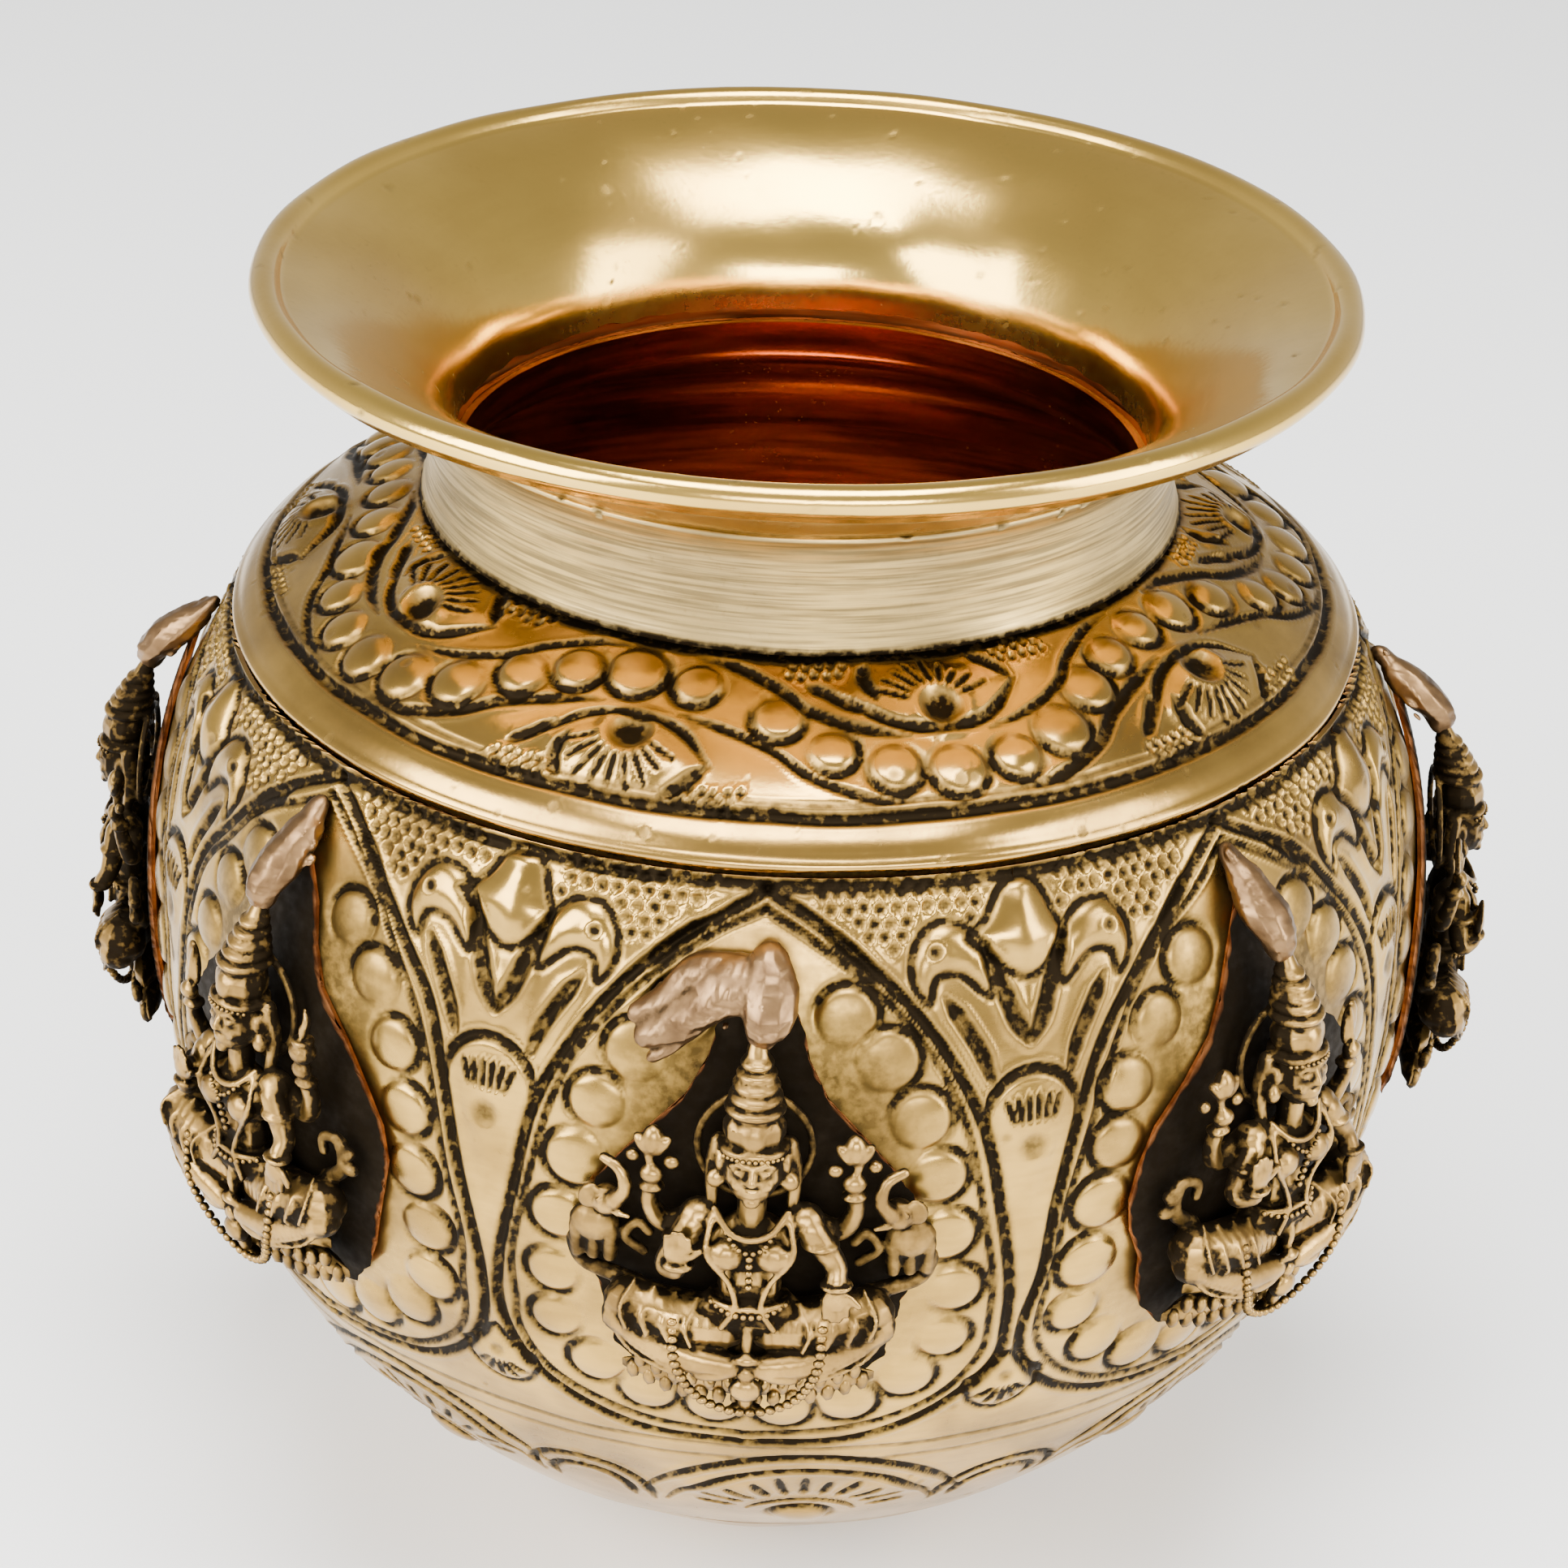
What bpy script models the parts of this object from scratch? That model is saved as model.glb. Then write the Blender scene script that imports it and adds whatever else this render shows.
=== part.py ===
"""Brass kalash pot: a beaten belly and shoulder, a filed neck collar, a spun mouth,
and eight cast seated figures soldered round the belly on backing plates.

Units are metres, +Z is up, the origin is the middle of the flat base, and figure 1 faces -Y.
"""

import math

import bmesh
import bpy
from mathutils import Vector
from mathutils.geometry import interpolate_bezier

# Driving dimensions
HEIGHT = 0.100
MOUTH_R = 0.040
BELLY_R = 0.0484
NECK_R = 0.0275
BASE_R = 0.0190
WALL = 0.0011
SOLDER_GAP = 0.0003  # filled by solder on the real pot
FIGURES = 8
FIGURE_HEIGHT = 0.0302
FIGURE_WIDTH = 0.0244
FIGURE_DEPTH = 0.0056
PLATE_THICK = 0.0006
SEGMENTS = 40  # a multiple of FIGURES, so that each figure sits alike on the facets

# Heights, from the base up
BELLY_Z = 0.50 * HEIGHT
SEAM_Z = 0.732 * HEIGHT
NECK_Z = 0.820 * HEIGHT
UPSTAND_Z = 0.852 * HEIGHT
SPIGOT_Z = 0.860 * HEIGHT
THROAT_Z = 0.874 * HEIGHT
COLLAR_TOP_Z = 0.896 * HEIGHT
FIGURE_Z = 0.360 * HEIGHT

RING_TOP_Z = 0.759 * HEIGHT
GROOVE_Z = 0.7625 * HEIGHT
DOME_Z = 0.767 * HEIGHT

# Radii
SEAM_R = 0.872 * BELLY_R
RING_TOP_R = 0.822 * BELLY_R
DOME_R = 0.808 * BELLY_R
LAP_DEPTH = 0.0035  # how far the shoulder's skirt reaches down inside the belly
RING_BULGE = 0.0008
COLLAR_WALL = 0.0009
UPSTAND_R = NECK_R - COLLAR_WALL - SOLDER_GAP
SPIGOT_WALL = 0.0008
DOME_FOOT = 0.0004  # the dome stops this far outside the collar
COLLAR_WEAR = 0.0001  # filing left the collar's waist and edges this far out of true
COLLAR_EDGE = 0.0006
COLLAR_FOOT = 0.0010
LIP_R = 0.0011  # the rolled lip's own radius
PLATE_MARGIN = 0.0012
FIGURE_SEAT_GAP = 2 * SOLDER_GAP + PLATE_THICK

# A figure is laid out on a grid of these steps, 30.9 tall, 24.4 wide and 5.6 deep
TALL = FIGURE_HEIGHT / 30.9
WIDE = FIGURE_WIDTH / 24.4
DEEP = FIGURE_DEPTH / 5.6
CROWN_TIP_Z = FIGURE_Z + FIGURE_HEIGHT
SOLDER_SIZE = Vector((0.0026, 0.0032, 0.0021))
SLAB_INSET = 0.0006  # the slab behind a figure keeps inside its outline
SLAB_DEEP = 0.015  # cut back to the belly's curve afterwards
SLAB_FRONT = 0.0019
SOLDER_OUT = 0.0004


def clear_scene():
    for old in list(bpy.data.objects):
        bpy.data.objects.remove(old, do_unlink=True)


def brass(name, colour, roughness):
    material = bpy.data.materials.new(name)
    material.use_nodes = True
    shader = material.node_tree.nodes["Principled BSDF"]
    shader.inputs["Base Color"].default_value = (*colour, 1)
    shader.inputs["Metallic"].default_value = 1
    shader.inputs["Roughness"].default_value = roughness
    material.diffuse_color = (*colour, 1)
    return material


def arc_between(start, end, bulge, steps):
    """Points after start up to end on a low arc that stands out by bulge to the left of its chord."""
    start, end = Vector(start), Vector(end)
    along = end - start
    left = Vector((-along.y, along.x)).normalized()
    shares = (i / steps for i in range(1, steps + 1))
    return [start + along * s + left * bulge * math.sin(math.pi * s) for s in shares]


def curve(start, handle_1, handle_2, end, count):
    flat = [Vector((x, z, 0)) for x, z in (start, handle_1, handle_2, end)]
    return [point.xy for point in interpolate_bezier(*flat, count)]


def offset(points, distance):
    """The same line moved sideways, to its left as it runs."""
    moved = []
    for i, point in enumerate(points):
        before, after = points[max(i - 1, 0)], points[min(i + 1, len(points) - 1)]
        along = (after - before).normalized()
        moved.append(point + Vector((-along.y, along.x)) * distance)
    return moved


def belly_side():
    """The belly's outer line from the base's edge up to the seam under the ring."""
    lower = curve(
        (BASE_R, 0),
        (0.545 * BELLY_R, 0.133 * BELLY_Z),
        (BELLY_R, 0.355 * BELLY_Z),
        (BELLY_R, BELLY_Z),
        9,
    )
    rise = SEAM_Z - BELLY_Z
    upper = curve(
        (BELLY_R, BELLY_Z),
        (BELLY_R, BELLY_Z + 0.62 * rise),
        (SEAM_R + 0.05 * rise, SEAM_Z - 0.11 * rise),
        (SEAM_R, SEAM_Z),
        4,
    )
    return lower + upper[1:]


def turned(name, profile, material=None):
    """A solid turned round Z from a profile that runs down its outer side."""
    mesh = bpy.data.meshes.new(name)
    closed = profile[0].x > 0
    count = len(profile)
    edges = [(i, (i + 1) % count) for i in range(count if closed else count - 1)]
    mesh.from_pydata([(p.x, 0, p.y) for p in profile], edges, [])
    piece = bpy.data.objects.new(name, mesh)
    bpy.context.scene.collection.objects.link(piece)
    screw = piece.modifiers.new("Turned", "SCREW")
    screw.steps = screw.render_steps = SEGMENTS
    screw.use_merge_vertices = True
    screw.merge_threshold = 1e-5
    screw.use_smooth_shade = True
    if material:
        mesh.materials.append(material)
    return piece


def belly_shell(material):
    outside = belly_side()
    inside = offset(outside, WALL)
    inside[0] = Vector((BASE_R, WALL))
    inside[-1].y = SEAM_Z
    bottom = [Vector((0, WALL))]
    profile = bottom + inside + outside[::-1] + [Vector((0, 0))]
    return turned("belly_shell", profile, material)


def shoulder_shell(material):
    """The dome with the neck's upstand above it, and the ring and its lap skirt below."""
    ring_foot = Vector((SEAM_R - SOLDER_GAP / 2, SEAM_Z + SOLDER_GAP))
    ring_top = Vector((RING_TOP_R, RING_TOP_Z))
    groove = Vector((RING_TOP_R - SOLDER_GAP, GROOVE_Z))
    rise = NECK_Z - DOME_Z
    dome = curve(
        (DOME_R, DOME_Z),
        (DOME_R - 0.65 * rise, DOME_Z + 0.43 * rise),
        (NECK_R + 0.45 * rise, NECK_Z - 0.133 * rise),
        (NECK_R + DOME_FOOT, NECK_Z),
        6,
    )
    outside = [ring_foot, *arc_between(ring_top, ring_foot, RING_BULGE, 4)[-2::-1], ring_top, groove, *dome]
    under = offset([ring_top, *dome], WALL)
    upstand_in = UPSTAND_R - WALL
    under = [p for p in under if p.x > upstand_in + WALL]
    skirt_r = SEAM_R - WALL - SOLDER_GAP
    bore = [
        Vector((upstand_in, UPSTAND_Z)),
        Vector((upstand_in, under[-1].y)),
    ]
    skirt = [
        Vector((skirt_r - WALL, SEAM_Z)),
        Vector((skirt_r - WALL, SEAM_Z - LAP_DEPTH)),
        Vector((skirt_r, SEAM_Z - LAP_DEPTH)),
        Vector((skirt_r, SEAM_Z + SOLDER_GAP)),
    ]
    upstand = [Vector((UPSTAND_R, NECK_Z)), Vector((UPSTAND_R, UPSTAND_Z))]
    climb = skirt + outside + upstand + bore + under[:0:-1]
    return turned("shoulder_shell", climb[::-1], material)


def flare_side():
    """The mouth's underside from the spigot's foot up and out to the lip."""
    spigot_r = NECK_R - COLLAR_WALL - SOLDER_GAP
    rise = HEIGHT - THROAT_Z
    spread = MOUTH_R - spigot_r
    side = curve(
        (spigot_r, THROAT_Z),
        (spigot_r, THROAT_Z + 0.25 * rise),
        (spigot_r + 0.33 * spread, THROAT_Z + 0.62 * rise),
        (MOUTH_R - 0.75 * LIP_R, HEIGHT - 1.9 * LIP_R),
        7,
    )
    return [Vector((spigot_r, SPIGOT_Z)), *side]


def neck_collar(material):
    """A ring round the shoulder's upstand whose top is bored out to the mouth's underside."""
    foot_z = NECK_Z + SOLDER_GAP
    seat = offset(flare_side(), -SOLDER_GAP)
    seat = [p for p in seat if THROAT_Z <= p.y < COLLAR_TOP_Z and p.x < NECK_R - SOLDER_GAP]
    bore_r = NECK_R - COLLAR_WALL
    profile = [
        Vector((NECK_R - COLLAR_WEAR, COLLAR_TOP_Z)),
        Vector((NECK_R, COLLAR_TOP_Z - COLLAR_EDGE)),
        Vector((NECK_R - 2 * COLLAR_WEAR, (COLLAR_TOP_Z + foot_z) / 2)),
        Vector((NECK_R, foot_z + COLLAR_FOOT)),
        Vector((NECK_R + 2 * COLLAR_WEAR, foot_z)),
        Vector((bore_r, foot_z)),
        Vector((bore_r, SPIGOT_Z)),
        *seat,
    ]
    return turned("neck_collar", profile, material)


def mouth_flare(material):
    """The spun trumpet with its spigot in the collar and its edge rolled into a lip."""
    underside = flare_side()
    inside = offset(underside, SPIGOT_WALL)
    inside[0] = Vector((underside[0].x - SPIGOT_WALL, SPIGOT_Z))
    centre = Vector((MOUTH_R - LIP_R, HEIGHT - LIP_R))
    turn = [math.radians(a) for a in range(100, -81, -45)]
    lip = [centre + LIP_R * Vector((math.cos(a), math.sin(a))) for a in turn]
    profile = inside[:-1] + lip + underside[-2::-1]
    return turned("mouth_flare", profile, material)


def belly_cutter(name, distance):
    """A solid that stands off the belly's outside by this distance."""
    side = offset(belly_side(), -distance)
    top = [Vector((0, side[-1].y)), side[-1]]
    foot = Vector((0, side[0].y))
    cutter = turned(name, top + side[-2::-1] + [foot])
    cutter.hide_render = True
    cutter.display_type = "WIRE"
    return cutter


def new_piece(name, form, material):
    mesh = bpy.data.meshes.new(name)
    form.to_mesh(mesh)
    form.free()
    mesh.materials.append(material)
    piece = bpy.data.objects.new(name, mesh)
    bpy.context.scene.collection.objects.link(piece)
    return piece


def cut(piece, operation, other):
    """Adds a Boolean. EXACT leaves open edges where many forms of a figure cross, and MANIFOLD doesn't."""
    boolean = piece.modifiers.new(operation.title(), "BOOLEAN")
    boolean.operation = operation
    boolean.object = other
    boolean.solver = "MANIFOLD"


def settled(piece, helpers=()):
    """Fixes the piece's modifiers into its mesh and takes the helpers away."""
    bpy.context.view_layer.update()
    graph = bpy.context.evaluated_depsgraph_get()
    made = bpy.data.meshes.new_from_object(piece.evaluated_get(graph))
    piece.modifiers.clear()
    piece.data = made
    for helper in helpers:
        bpy.data.objects.remove(helper, do_unlink=True)
    made.shade_smooth()
    made.set_sharp_from_angle(angle=math.radians(50))


def on_figure(across, up, out):
    """A spot on the front figure, in grid steps across it, up from its foot and out from the belly."""
    return Vector((across * WIDE, -(BELLY_R + out * DEEP), FIGURE_Z + up * TALL))


def rounded(centre, size, segments=6, rings=4):
    """An ellipsoid, centre and half sizes given across, up and out."""
    form = bmesh.new()
    bmesh.ops.create_uvsphere(form, u_segments=segments, v_segments=rings, radius=1)
    bmesh.ops.scale(form, verts=form.verts, vec=(size[0] * WIDE, size[2] * DEEP, size[1] * TALL))
    bmesh.ops.translate(form, verts=form.verts, vec=on_figure(*centre))
    return form


def limb(start, end, radius_1, radius_2, sides=5):
    """A tapered bar between two points given across, up and out, its radii in grid steps."""
    start, end = on_figure(*start), on_figure(*end)
    along = end - start
    form = bmesh.new()
    bmesh.ops.create_cone(
        form,
        cap_ends=True,
        segments=sides,
        radius1=radius_1 * DEEP,
        radius2=radius_2 * DEEP,
        depth=along.length,
    )
    turn = Vector((0, 0, 1)).rotation_difference(along)
    bmesh.ops.rotate(form, verts=form.verts, matrix=turn.to_matrix())
    bmesh.ops.translate(form, verts=form.verts, vec=(start + end) / 2)
    return form


def outline_slab(margin, back, front, count):
    """An egg-shaped slab behind a figure, widest below its middle."""
    form = bmesh.new()
    ring = []
    for i in range(count):
        angle = 2 * math.pi * (i + 0.5) / count
        up = 0.5 - 0.5 * math.cos(angle)
        width = math.sin(angle) * (1.05 - 0.45 * up)
        across = width * (FIGURE_WIDTH / 2 - SLAB_INSET + margin)
        z = FIGURE_Z - margin + up * (FIGURE_HEIGHT - SLAB_INSET + margin)
        ring.append(form.verts.new((across, -(BELLY_R + back), z)))
    face = form.faces.new(ring)
    made = bmesh.ops.extrude_face_region(form, geom=[face])["geom"]
    raised = [v for v in made if isinstance(v, bmesh.types.BMVert)]
    bmesh.ops.translate(form, verts=raised, vec=(0, back - front, 0))
    bmesh.ops.recalc_face_normals(form, faces=form.faces)
    return form


def figure_forms():
    """A seated four-armed figure with a tall crown and raised hands, and an elephant on each side."""
    yield outline_slab(0, -SLAB_DEEP, SLAB_FRONT, 10)
    yield rounded((0, 3.1, 2.0), (8.6, 3.1, 2.9))
    yield rounded((0, 14.3, 2.6), (3.9, 5.6, 2.0))
    yield rounded((0, 21.9, 2.5), (2.1, 2.7, 2.0))
    yield rounded((0, 25.2, 2.3), (2.6, 2.0, 2.1))
    yield limb((0, 25.8, 2.0), (0, 30.9, 1.4), 1.8, 0.7)
    for side, hand_up in ((-1, 15.4), (1, 12.2)):
        yield rounded((side * 4.7, 9.6, 2.9), (4.6, 2.6, 2.3))
        yield limb((side * 2.9, 17.0, 2.4), (side * 6.5, 24.2, 2.0), 1.2, 0.9)
        yield limb((side * 3.3, 16.8, 2.7), (side * 5.6, 12.8, 3.2), 1.1, 1.0)
        yield limb((side * 5.3, 13.2, 2.8), (side * 4.9, hand_up, 5.4), 0.9, 1.0)
        yield rounded((side * 10.3, 16.2, 1.7), (2.0, 5.0, 1.5))


def deity_figures(material):
    """One figure is joined and fitted to the belly's curve, then set all round."""
    forms = [new_piece("deity_figure_1", form, material) for form in figure_forms()]
    first, *others = forms
    seat = belly_cutter("figure_seat", FIGURE_SEAT_GAP)
    for other in others:
        cut(first, "UNION", other)
    lighter = first.modifiers.new("Lighter", "DECIMATE")
    lighter.ratio = 0.6
    cut(first, "DIFFERENCE", seat)
    settled(first, (*others, seat))
    return set_round(first)


def backing_plates(material):
    first = new_piece("backing_plate_1", outline_slab(PLATE_MARGIN, -SLAB_DEEP, FIGURE_DEPTH, 12), material)
    front = belly_cutter("plate_front", SOLDER_GAP + PLATE_THICK)
    back = belly_cutter("plate_back", SOLDER_GAP)
    cut(first, "INTERSECT", front)
    cut(first, "DIFFERENCE", back)
    settled(first, (front, back))
    return set_round(first)


def crown_solders(material):
    """A lump of solder from each crown's tip back to the belly."""
    form = bmesh.new()
    lump = bmesh.ops.create_uvsphere(form, u_segments=8, v_segments=5, radius=1)["verts"]
    bmesh.ops.scale(form, verts=lump, vec=SOLDER_SIZE)
    spot = (0, -(BELLY_R - SOLDER_OUT), CROWN_TIP_Z + SOLDER_GAP + SOLDER_SIZE.z)
    bmesh.ops.translate(form, verts=lump, vec=spot)
    first = new_piece("crown_solder_1", form, material)
    back = belly_cutter("solder_back", SOLDER_GAP)
    cut(first, "DIFFERENCE", back)
    settled(first, (back,))
    return set_round(first)


def set_round(first):
    """Copies the first piece to every place round the belly, counted anticlockwise from the front."""
    stem = first.name.removesuffix("1")
    pieces = [first]
    for i in range(1, FIGURES):
        copy = bpy.data.objects.new(f"{stem}{i + 1}", first.data)
        copy.rotation_euler.z = i * 2 * math.pi / FIGURES
        bpy.context.scene.collection.objects.link(copy)
        pieces.append(copy)
    return pieces


clear_scene()
belly_shell(brass("belly brass", (0.72, 0.52, 0.24), 0.28))
shoulder_shell(brass("shoulder brass", (0.74, 0.52, 0.22), 0.26))
neck_collar(brass("filed neck brass", (0.62, 0.51, 0.30), 0.45))
mouth_flare(brass("polished mouth brass", (0.85, 0.60, 0.27), 0.16))
backing_plates(brass("blackened brass plate", (0.06, 0.05, 0.03), 0.60))
deity_figures(brass("cast brass", (0.55, 0.40, 0.19), 0.32))
crown_solders(brass("brass solder", (0.72, 0.52, 0.34), 0.35))
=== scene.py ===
import math

import bpy
import numpy as np
from mathutils import Matrix, Vector


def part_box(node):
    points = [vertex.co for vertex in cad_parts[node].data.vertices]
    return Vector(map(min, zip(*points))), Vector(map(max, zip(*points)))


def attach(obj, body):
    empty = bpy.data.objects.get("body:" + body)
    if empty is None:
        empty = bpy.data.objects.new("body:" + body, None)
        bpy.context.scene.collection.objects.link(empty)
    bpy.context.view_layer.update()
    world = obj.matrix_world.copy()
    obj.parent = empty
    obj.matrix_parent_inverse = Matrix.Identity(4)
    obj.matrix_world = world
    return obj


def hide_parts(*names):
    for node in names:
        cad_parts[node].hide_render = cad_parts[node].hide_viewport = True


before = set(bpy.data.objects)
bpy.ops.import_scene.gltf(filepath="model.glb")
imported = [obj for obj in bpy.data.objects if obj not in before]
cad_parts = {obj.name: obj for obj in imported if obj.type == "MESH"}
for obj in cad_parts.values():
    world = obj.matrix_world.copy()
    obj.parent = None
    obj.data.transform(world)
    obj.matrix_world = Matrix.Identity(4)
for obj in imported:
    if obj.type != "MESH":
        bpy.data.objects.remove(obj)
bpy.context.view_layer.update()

# The belly: a bowl of brass sheet raised over a stake. The arches, lotus columns and base flowers
# are pushed out from behind with punches, then lined from the front with a chasing tool.
# It is drawn as eight bays of sheet side by side, one for each arch. Sizes are in millimetres.
MM = 0.001
TURN = 2 * math.pi
BAYS = 8
BAY = TURN / BAYS
BELLY_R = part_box("belly_shell")[1].x / MM
BASE_R = 19.0
BAND_Z = 26.6
WALL = 1.1
BAY_COLUMNS = 184
COARSE = 8  # outer columns and rows to one of the plain inside


def bend(p0, p1, p2, p3, count):
    """Points along the smooth curve from p0 to p3 that leaves towards p1 and arrives from p2."""
    t = np.linspace(0, 1, count)[:, None]
    p0, p1, p2, p3 = (np.array(p, float) for p in (p0, p1, p2, p3))
    return (1 - t) ** 3 * p0 + 3 * t * (1 - t) ** 2 * p1 + 3 * t**2 * (1 - t) * p2 + t**3 * p3


class Outline:
    """The half outline that a sheet is turned to, measured along its own length."""

    def __init__(self, points):
        self.points = np.array(points, float)
        steps = np.hypot(*np.diff(self.points, axis=0).T)
        self.s = np.concatenate([[0], np.cumsum(steps)])

    def r(self, s):
        return np.interp(s, self.s, self.points[:, 0])

    def z(self, s):
        return np.interp(s, self.s, self.points[:, 1])

    def at_height(self, z):
        return np.interp(z, np.maximum.accumulate(self.points[:, 1]), self.s)


def flowing(path, step):
    """The path through these points as one smooth line with a point every step or so."""
    path = np.array(path, float)
    ends = np.vstack([2 * path[0] - path[1], path, 2 * path[-1] - path[-2]])
    made = []
    for a, b, c, d in zip(ends, ends[1:], ends[2:], ends[3:]):
        t = np.linspace(0, 1, max(2, int(np.linalg.norm(c - b) / step)), endpoint=False)[:, None]
        made.append(
            0.5 * (2 * b + (c - a) * t + (2 * a - 5 * b + 4 * c - d) * t**2 + (3 * b - a - 3 * c + d) * t**3)
        )
    return np.vstack([*made, path[-1:]])


class ChasedSheet:
    """A turned sheet on which every punch and line changes the height and leaves some soot."""

    def __init__(self, outline, rows, columns):
        self.outline, self.s = outline, np.array(rows, float)
        self.az = np.arange(columns) * TURN / columns
        self.r, z = outline.r(self.s), outline.z(self.s)
        dr, dz = np.gradient(self.r, self.s), np.gradient(z, self.s)
        slope = np.hypot(dr, dz)
        sin, cos = np.sin(self.az)[:, None], np.cos(self.az)[:, None]
        self.points = np.stack([self.r * sin, -self.r * cos, z + 0 * sin], -1)
        self.normals = np.stack([dz / slope * sin, -dz / slope * cos, -dr / slope + 0 * sin], -1)
        self.height = np.zeros((columns, len(rows)))
        self.soot = np.zeros_like(self.height)

    def around(self, az, s, reach):
        """The part of the sheet within reach of a spot, with its distances across and along from it."""
        rows = np.flatnonzero(abs(self.s - s) < reach)
        step = self.az[1]
        span = min(reach / max(self.outline.r(s) - reach * 0.7, 2.0), 3.1)
        columns = np.arange(math.ceil((az - span) / step), math.floor((az + span) / step) + 1)
        x = (columns * step - az)[:, None] * self.r[rows]
        return np.ix_(columns % len(self.az), rows), x, np.broadcast_to(self.s[rows] - s, x.shape)

    def blacken(self, spot, amount):
        self.soot[spot] = np.maximum(self.soot[spot], amount)

    def disc(self, az, s, radius, rise, facing, depth=0.3):
        """A round boss with a crescent line struck along the side that it faces."""
        spot, x, y = self.around(az, s, radius * 1.7)
        away = np.hypot(x, y)
        self.height[spot] += rise * np.clip(1 - (away / radius) ** 2, 0, 1) ** 0.8
        struck = np.clip(0.70 + 0.62 * np.cos(np.arctan2(y, x) - facing), 0.0, 1)
        line = np.exp(-(((away - radius) / 0.3) ** 2)) * struck
        self.height[spot] -= depth * line
        self.blacken(spot, np.clip(1.5 * np.exp(-(((away - radius) / 0.34) ** 2)), 0, 1) * struck)

    def stroke(self, path, width, depth, ends=(0.4, 0.4), ink=1.0, lip=0.25):
        """A line cut along a path of (azimuth, length along the sheet), thinner towards its ends."""
        radius = self.outline.r(np.array(path, float)[:, 1]).mean()
        scaled = flowing(np.array(path, float) * (radius, 1), 0.7) / (radius, 1)
        r, z = self.outline.r(scaled[:, 1]), self.outline.z(scaled[:, 1])
        spots = np.stack([r * np.sin(scaled[:, 0]), -r * np.cos(scaled[:, 0]), z], -1)
        nearest = np.full(self.height.shape, 99.0)
        place = np.zeros(self.height.shape)
        for i, (a, b) in enumerate(zip(spots, spots[1:])):
            middle = (scaled[i] + scaled[i + 1]) / 2
            length = np.linalg.norm(b - a)
            here, _, _ = self.around(*middle, length / 2 + width * 3.2 + 0.2)
            p = self.points[here] - a
            t = np.clip(p @ (b - a) / max(length**2, 1e-9), 0, 1)
            away = np.linalg.norm(p - t[..., None] * (b - a), axis=-1)
            closer = away < nearest[here]
            nearest[here] = np.where(closer, away, nearest[here])
            place[here] = np.where(closer, (i + t) / (len(spots) - 1), place[here])
        cut = nearest < width * 3.2
        press = np.interp(place[cut], (0, 0.2, 0.8, 1), (ends[0], 1, 1, ends[1]))
        x = nearest[cut] / (width * press)
        self.height[cut] += depth * press * (lip * np.exp(-((x - 1.9) ** 2) * 2) - np.exp(-(x**2)))
        self.soot[cut] = np.maximum(
            self.soot[cut], ink * np.clip(2.3 * np.exp(-((x * 0.85) ** 2)), 0, 1) * press**0.5
        )

    def leaf(self, az, s, edge, rise, soft, line=0.0):
        """A raised shape inside a closed edge of (across, along) points, with a line round it."""
        edge = flowing([*edge, edge[0]], 0.5)
        spot, x, y = self.around(az, s, np.hypot(*edge.T).max() + 1.0)
        inside = np.zeros(x.shape, bool)
        away = np.full(x.shape, 99.0)
        for (ax, ay), (bx, by) in zip(edge, edge[1:]):
            crosses = (ay > y) != (by > y)
            inside ^= crosses & (x < (bx - ax) * (y - ay) / (by - ay + 1e-12) + ax)
            dx, dy = bx - ax, by - ay
            t = np.clip(((x - ax) * dx + (y - ay) * dy) / max(dx * dx + dy * dy, 1e-9), 0, 1)
            away = np.minimum(away, np.hypot(x - ax - t * dx, y - ay - t * dy))
        lift = np.clip(away / soft, 0, 1) * inside
        raised = rise * np.sin(lift * math.pi / 2)
        for _ in range(14):  # hammering rounds the edges off
            inner = raised[:-2, 1:-1] + raised[2:, 1:-1] + raised[1:-1, :-2] + raised[1:-1, 2:]
            raised[1:-1, 1:-1] = raised[1:-1, 1:-1] / 2 + inner / 8
        self.height[spot] += raised
        if line:
            cut = np.exp(-((away / line) ** 2))
            self.height[spot] -= 0.22 * cut
            self.blacken(spot, np.clip(1.5 * cut, 0, 1))

    def pit(self, az, s, radius, depth, ink, square=False, turned=0.0):
        """One blow of a round or square punch, with a little burr thrown up round it."""
        spot, x, y = self.around(az, s, radius * 2.4)
        if square:
            u, v = x * math.cos(turned) + y * math.sin(turned), y * math.cos(turned) - x * math.sin(turned)
            away = (u**4 + v**4) ** 0.25 / radius
        else:
            away = np.hypot(x, y) / radius
        self.height[spot] += depth * (0.4 * np.exp(-(((away - 1.5) / 0.4) ** 2)) - np.exp(-(away**4)))
        self.blacken(spot, ink * np.exp(-((away / 1.1) ** 4)))

    def ground(self, az, s, corners, spacing, dice):
        """Rows of small punch marks that fill a patch with these (across, along) corners."""
        corners = np.array(corners, float)
        low, high = corners.min(0), corners.max(0)
        for i in range(int((high[0] - low[0]) / spacing) + 2):
            for j in range(int((high[1] - low[1]) / spacing) + 2):
                x = low[0] + (i + 0.5 * (j % 2)) * spacing + dice.normal(0, 0.07)
                y = low[1] + j * spacing * 0.86 + dice.normal(0, 0.07)
                inside = False
                for (ax, ay), (bx, by) in zip(corners, np.roll(corners, -1, 0)):
                    if (ay > y) != (by > y) and x < (bx - ax) * (y - ay) / (by - ay) + ax:
                        inside = not inside
                if inside:
                    spot = az + x / self.outline.r(s + y), s + y
                    self.pit(
                        *spot, spacing * 0.33, 0.2, 0.85, dice.random() < 0.75, 0.75 + dice.normal(0, 0.25)
                    )

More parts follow.
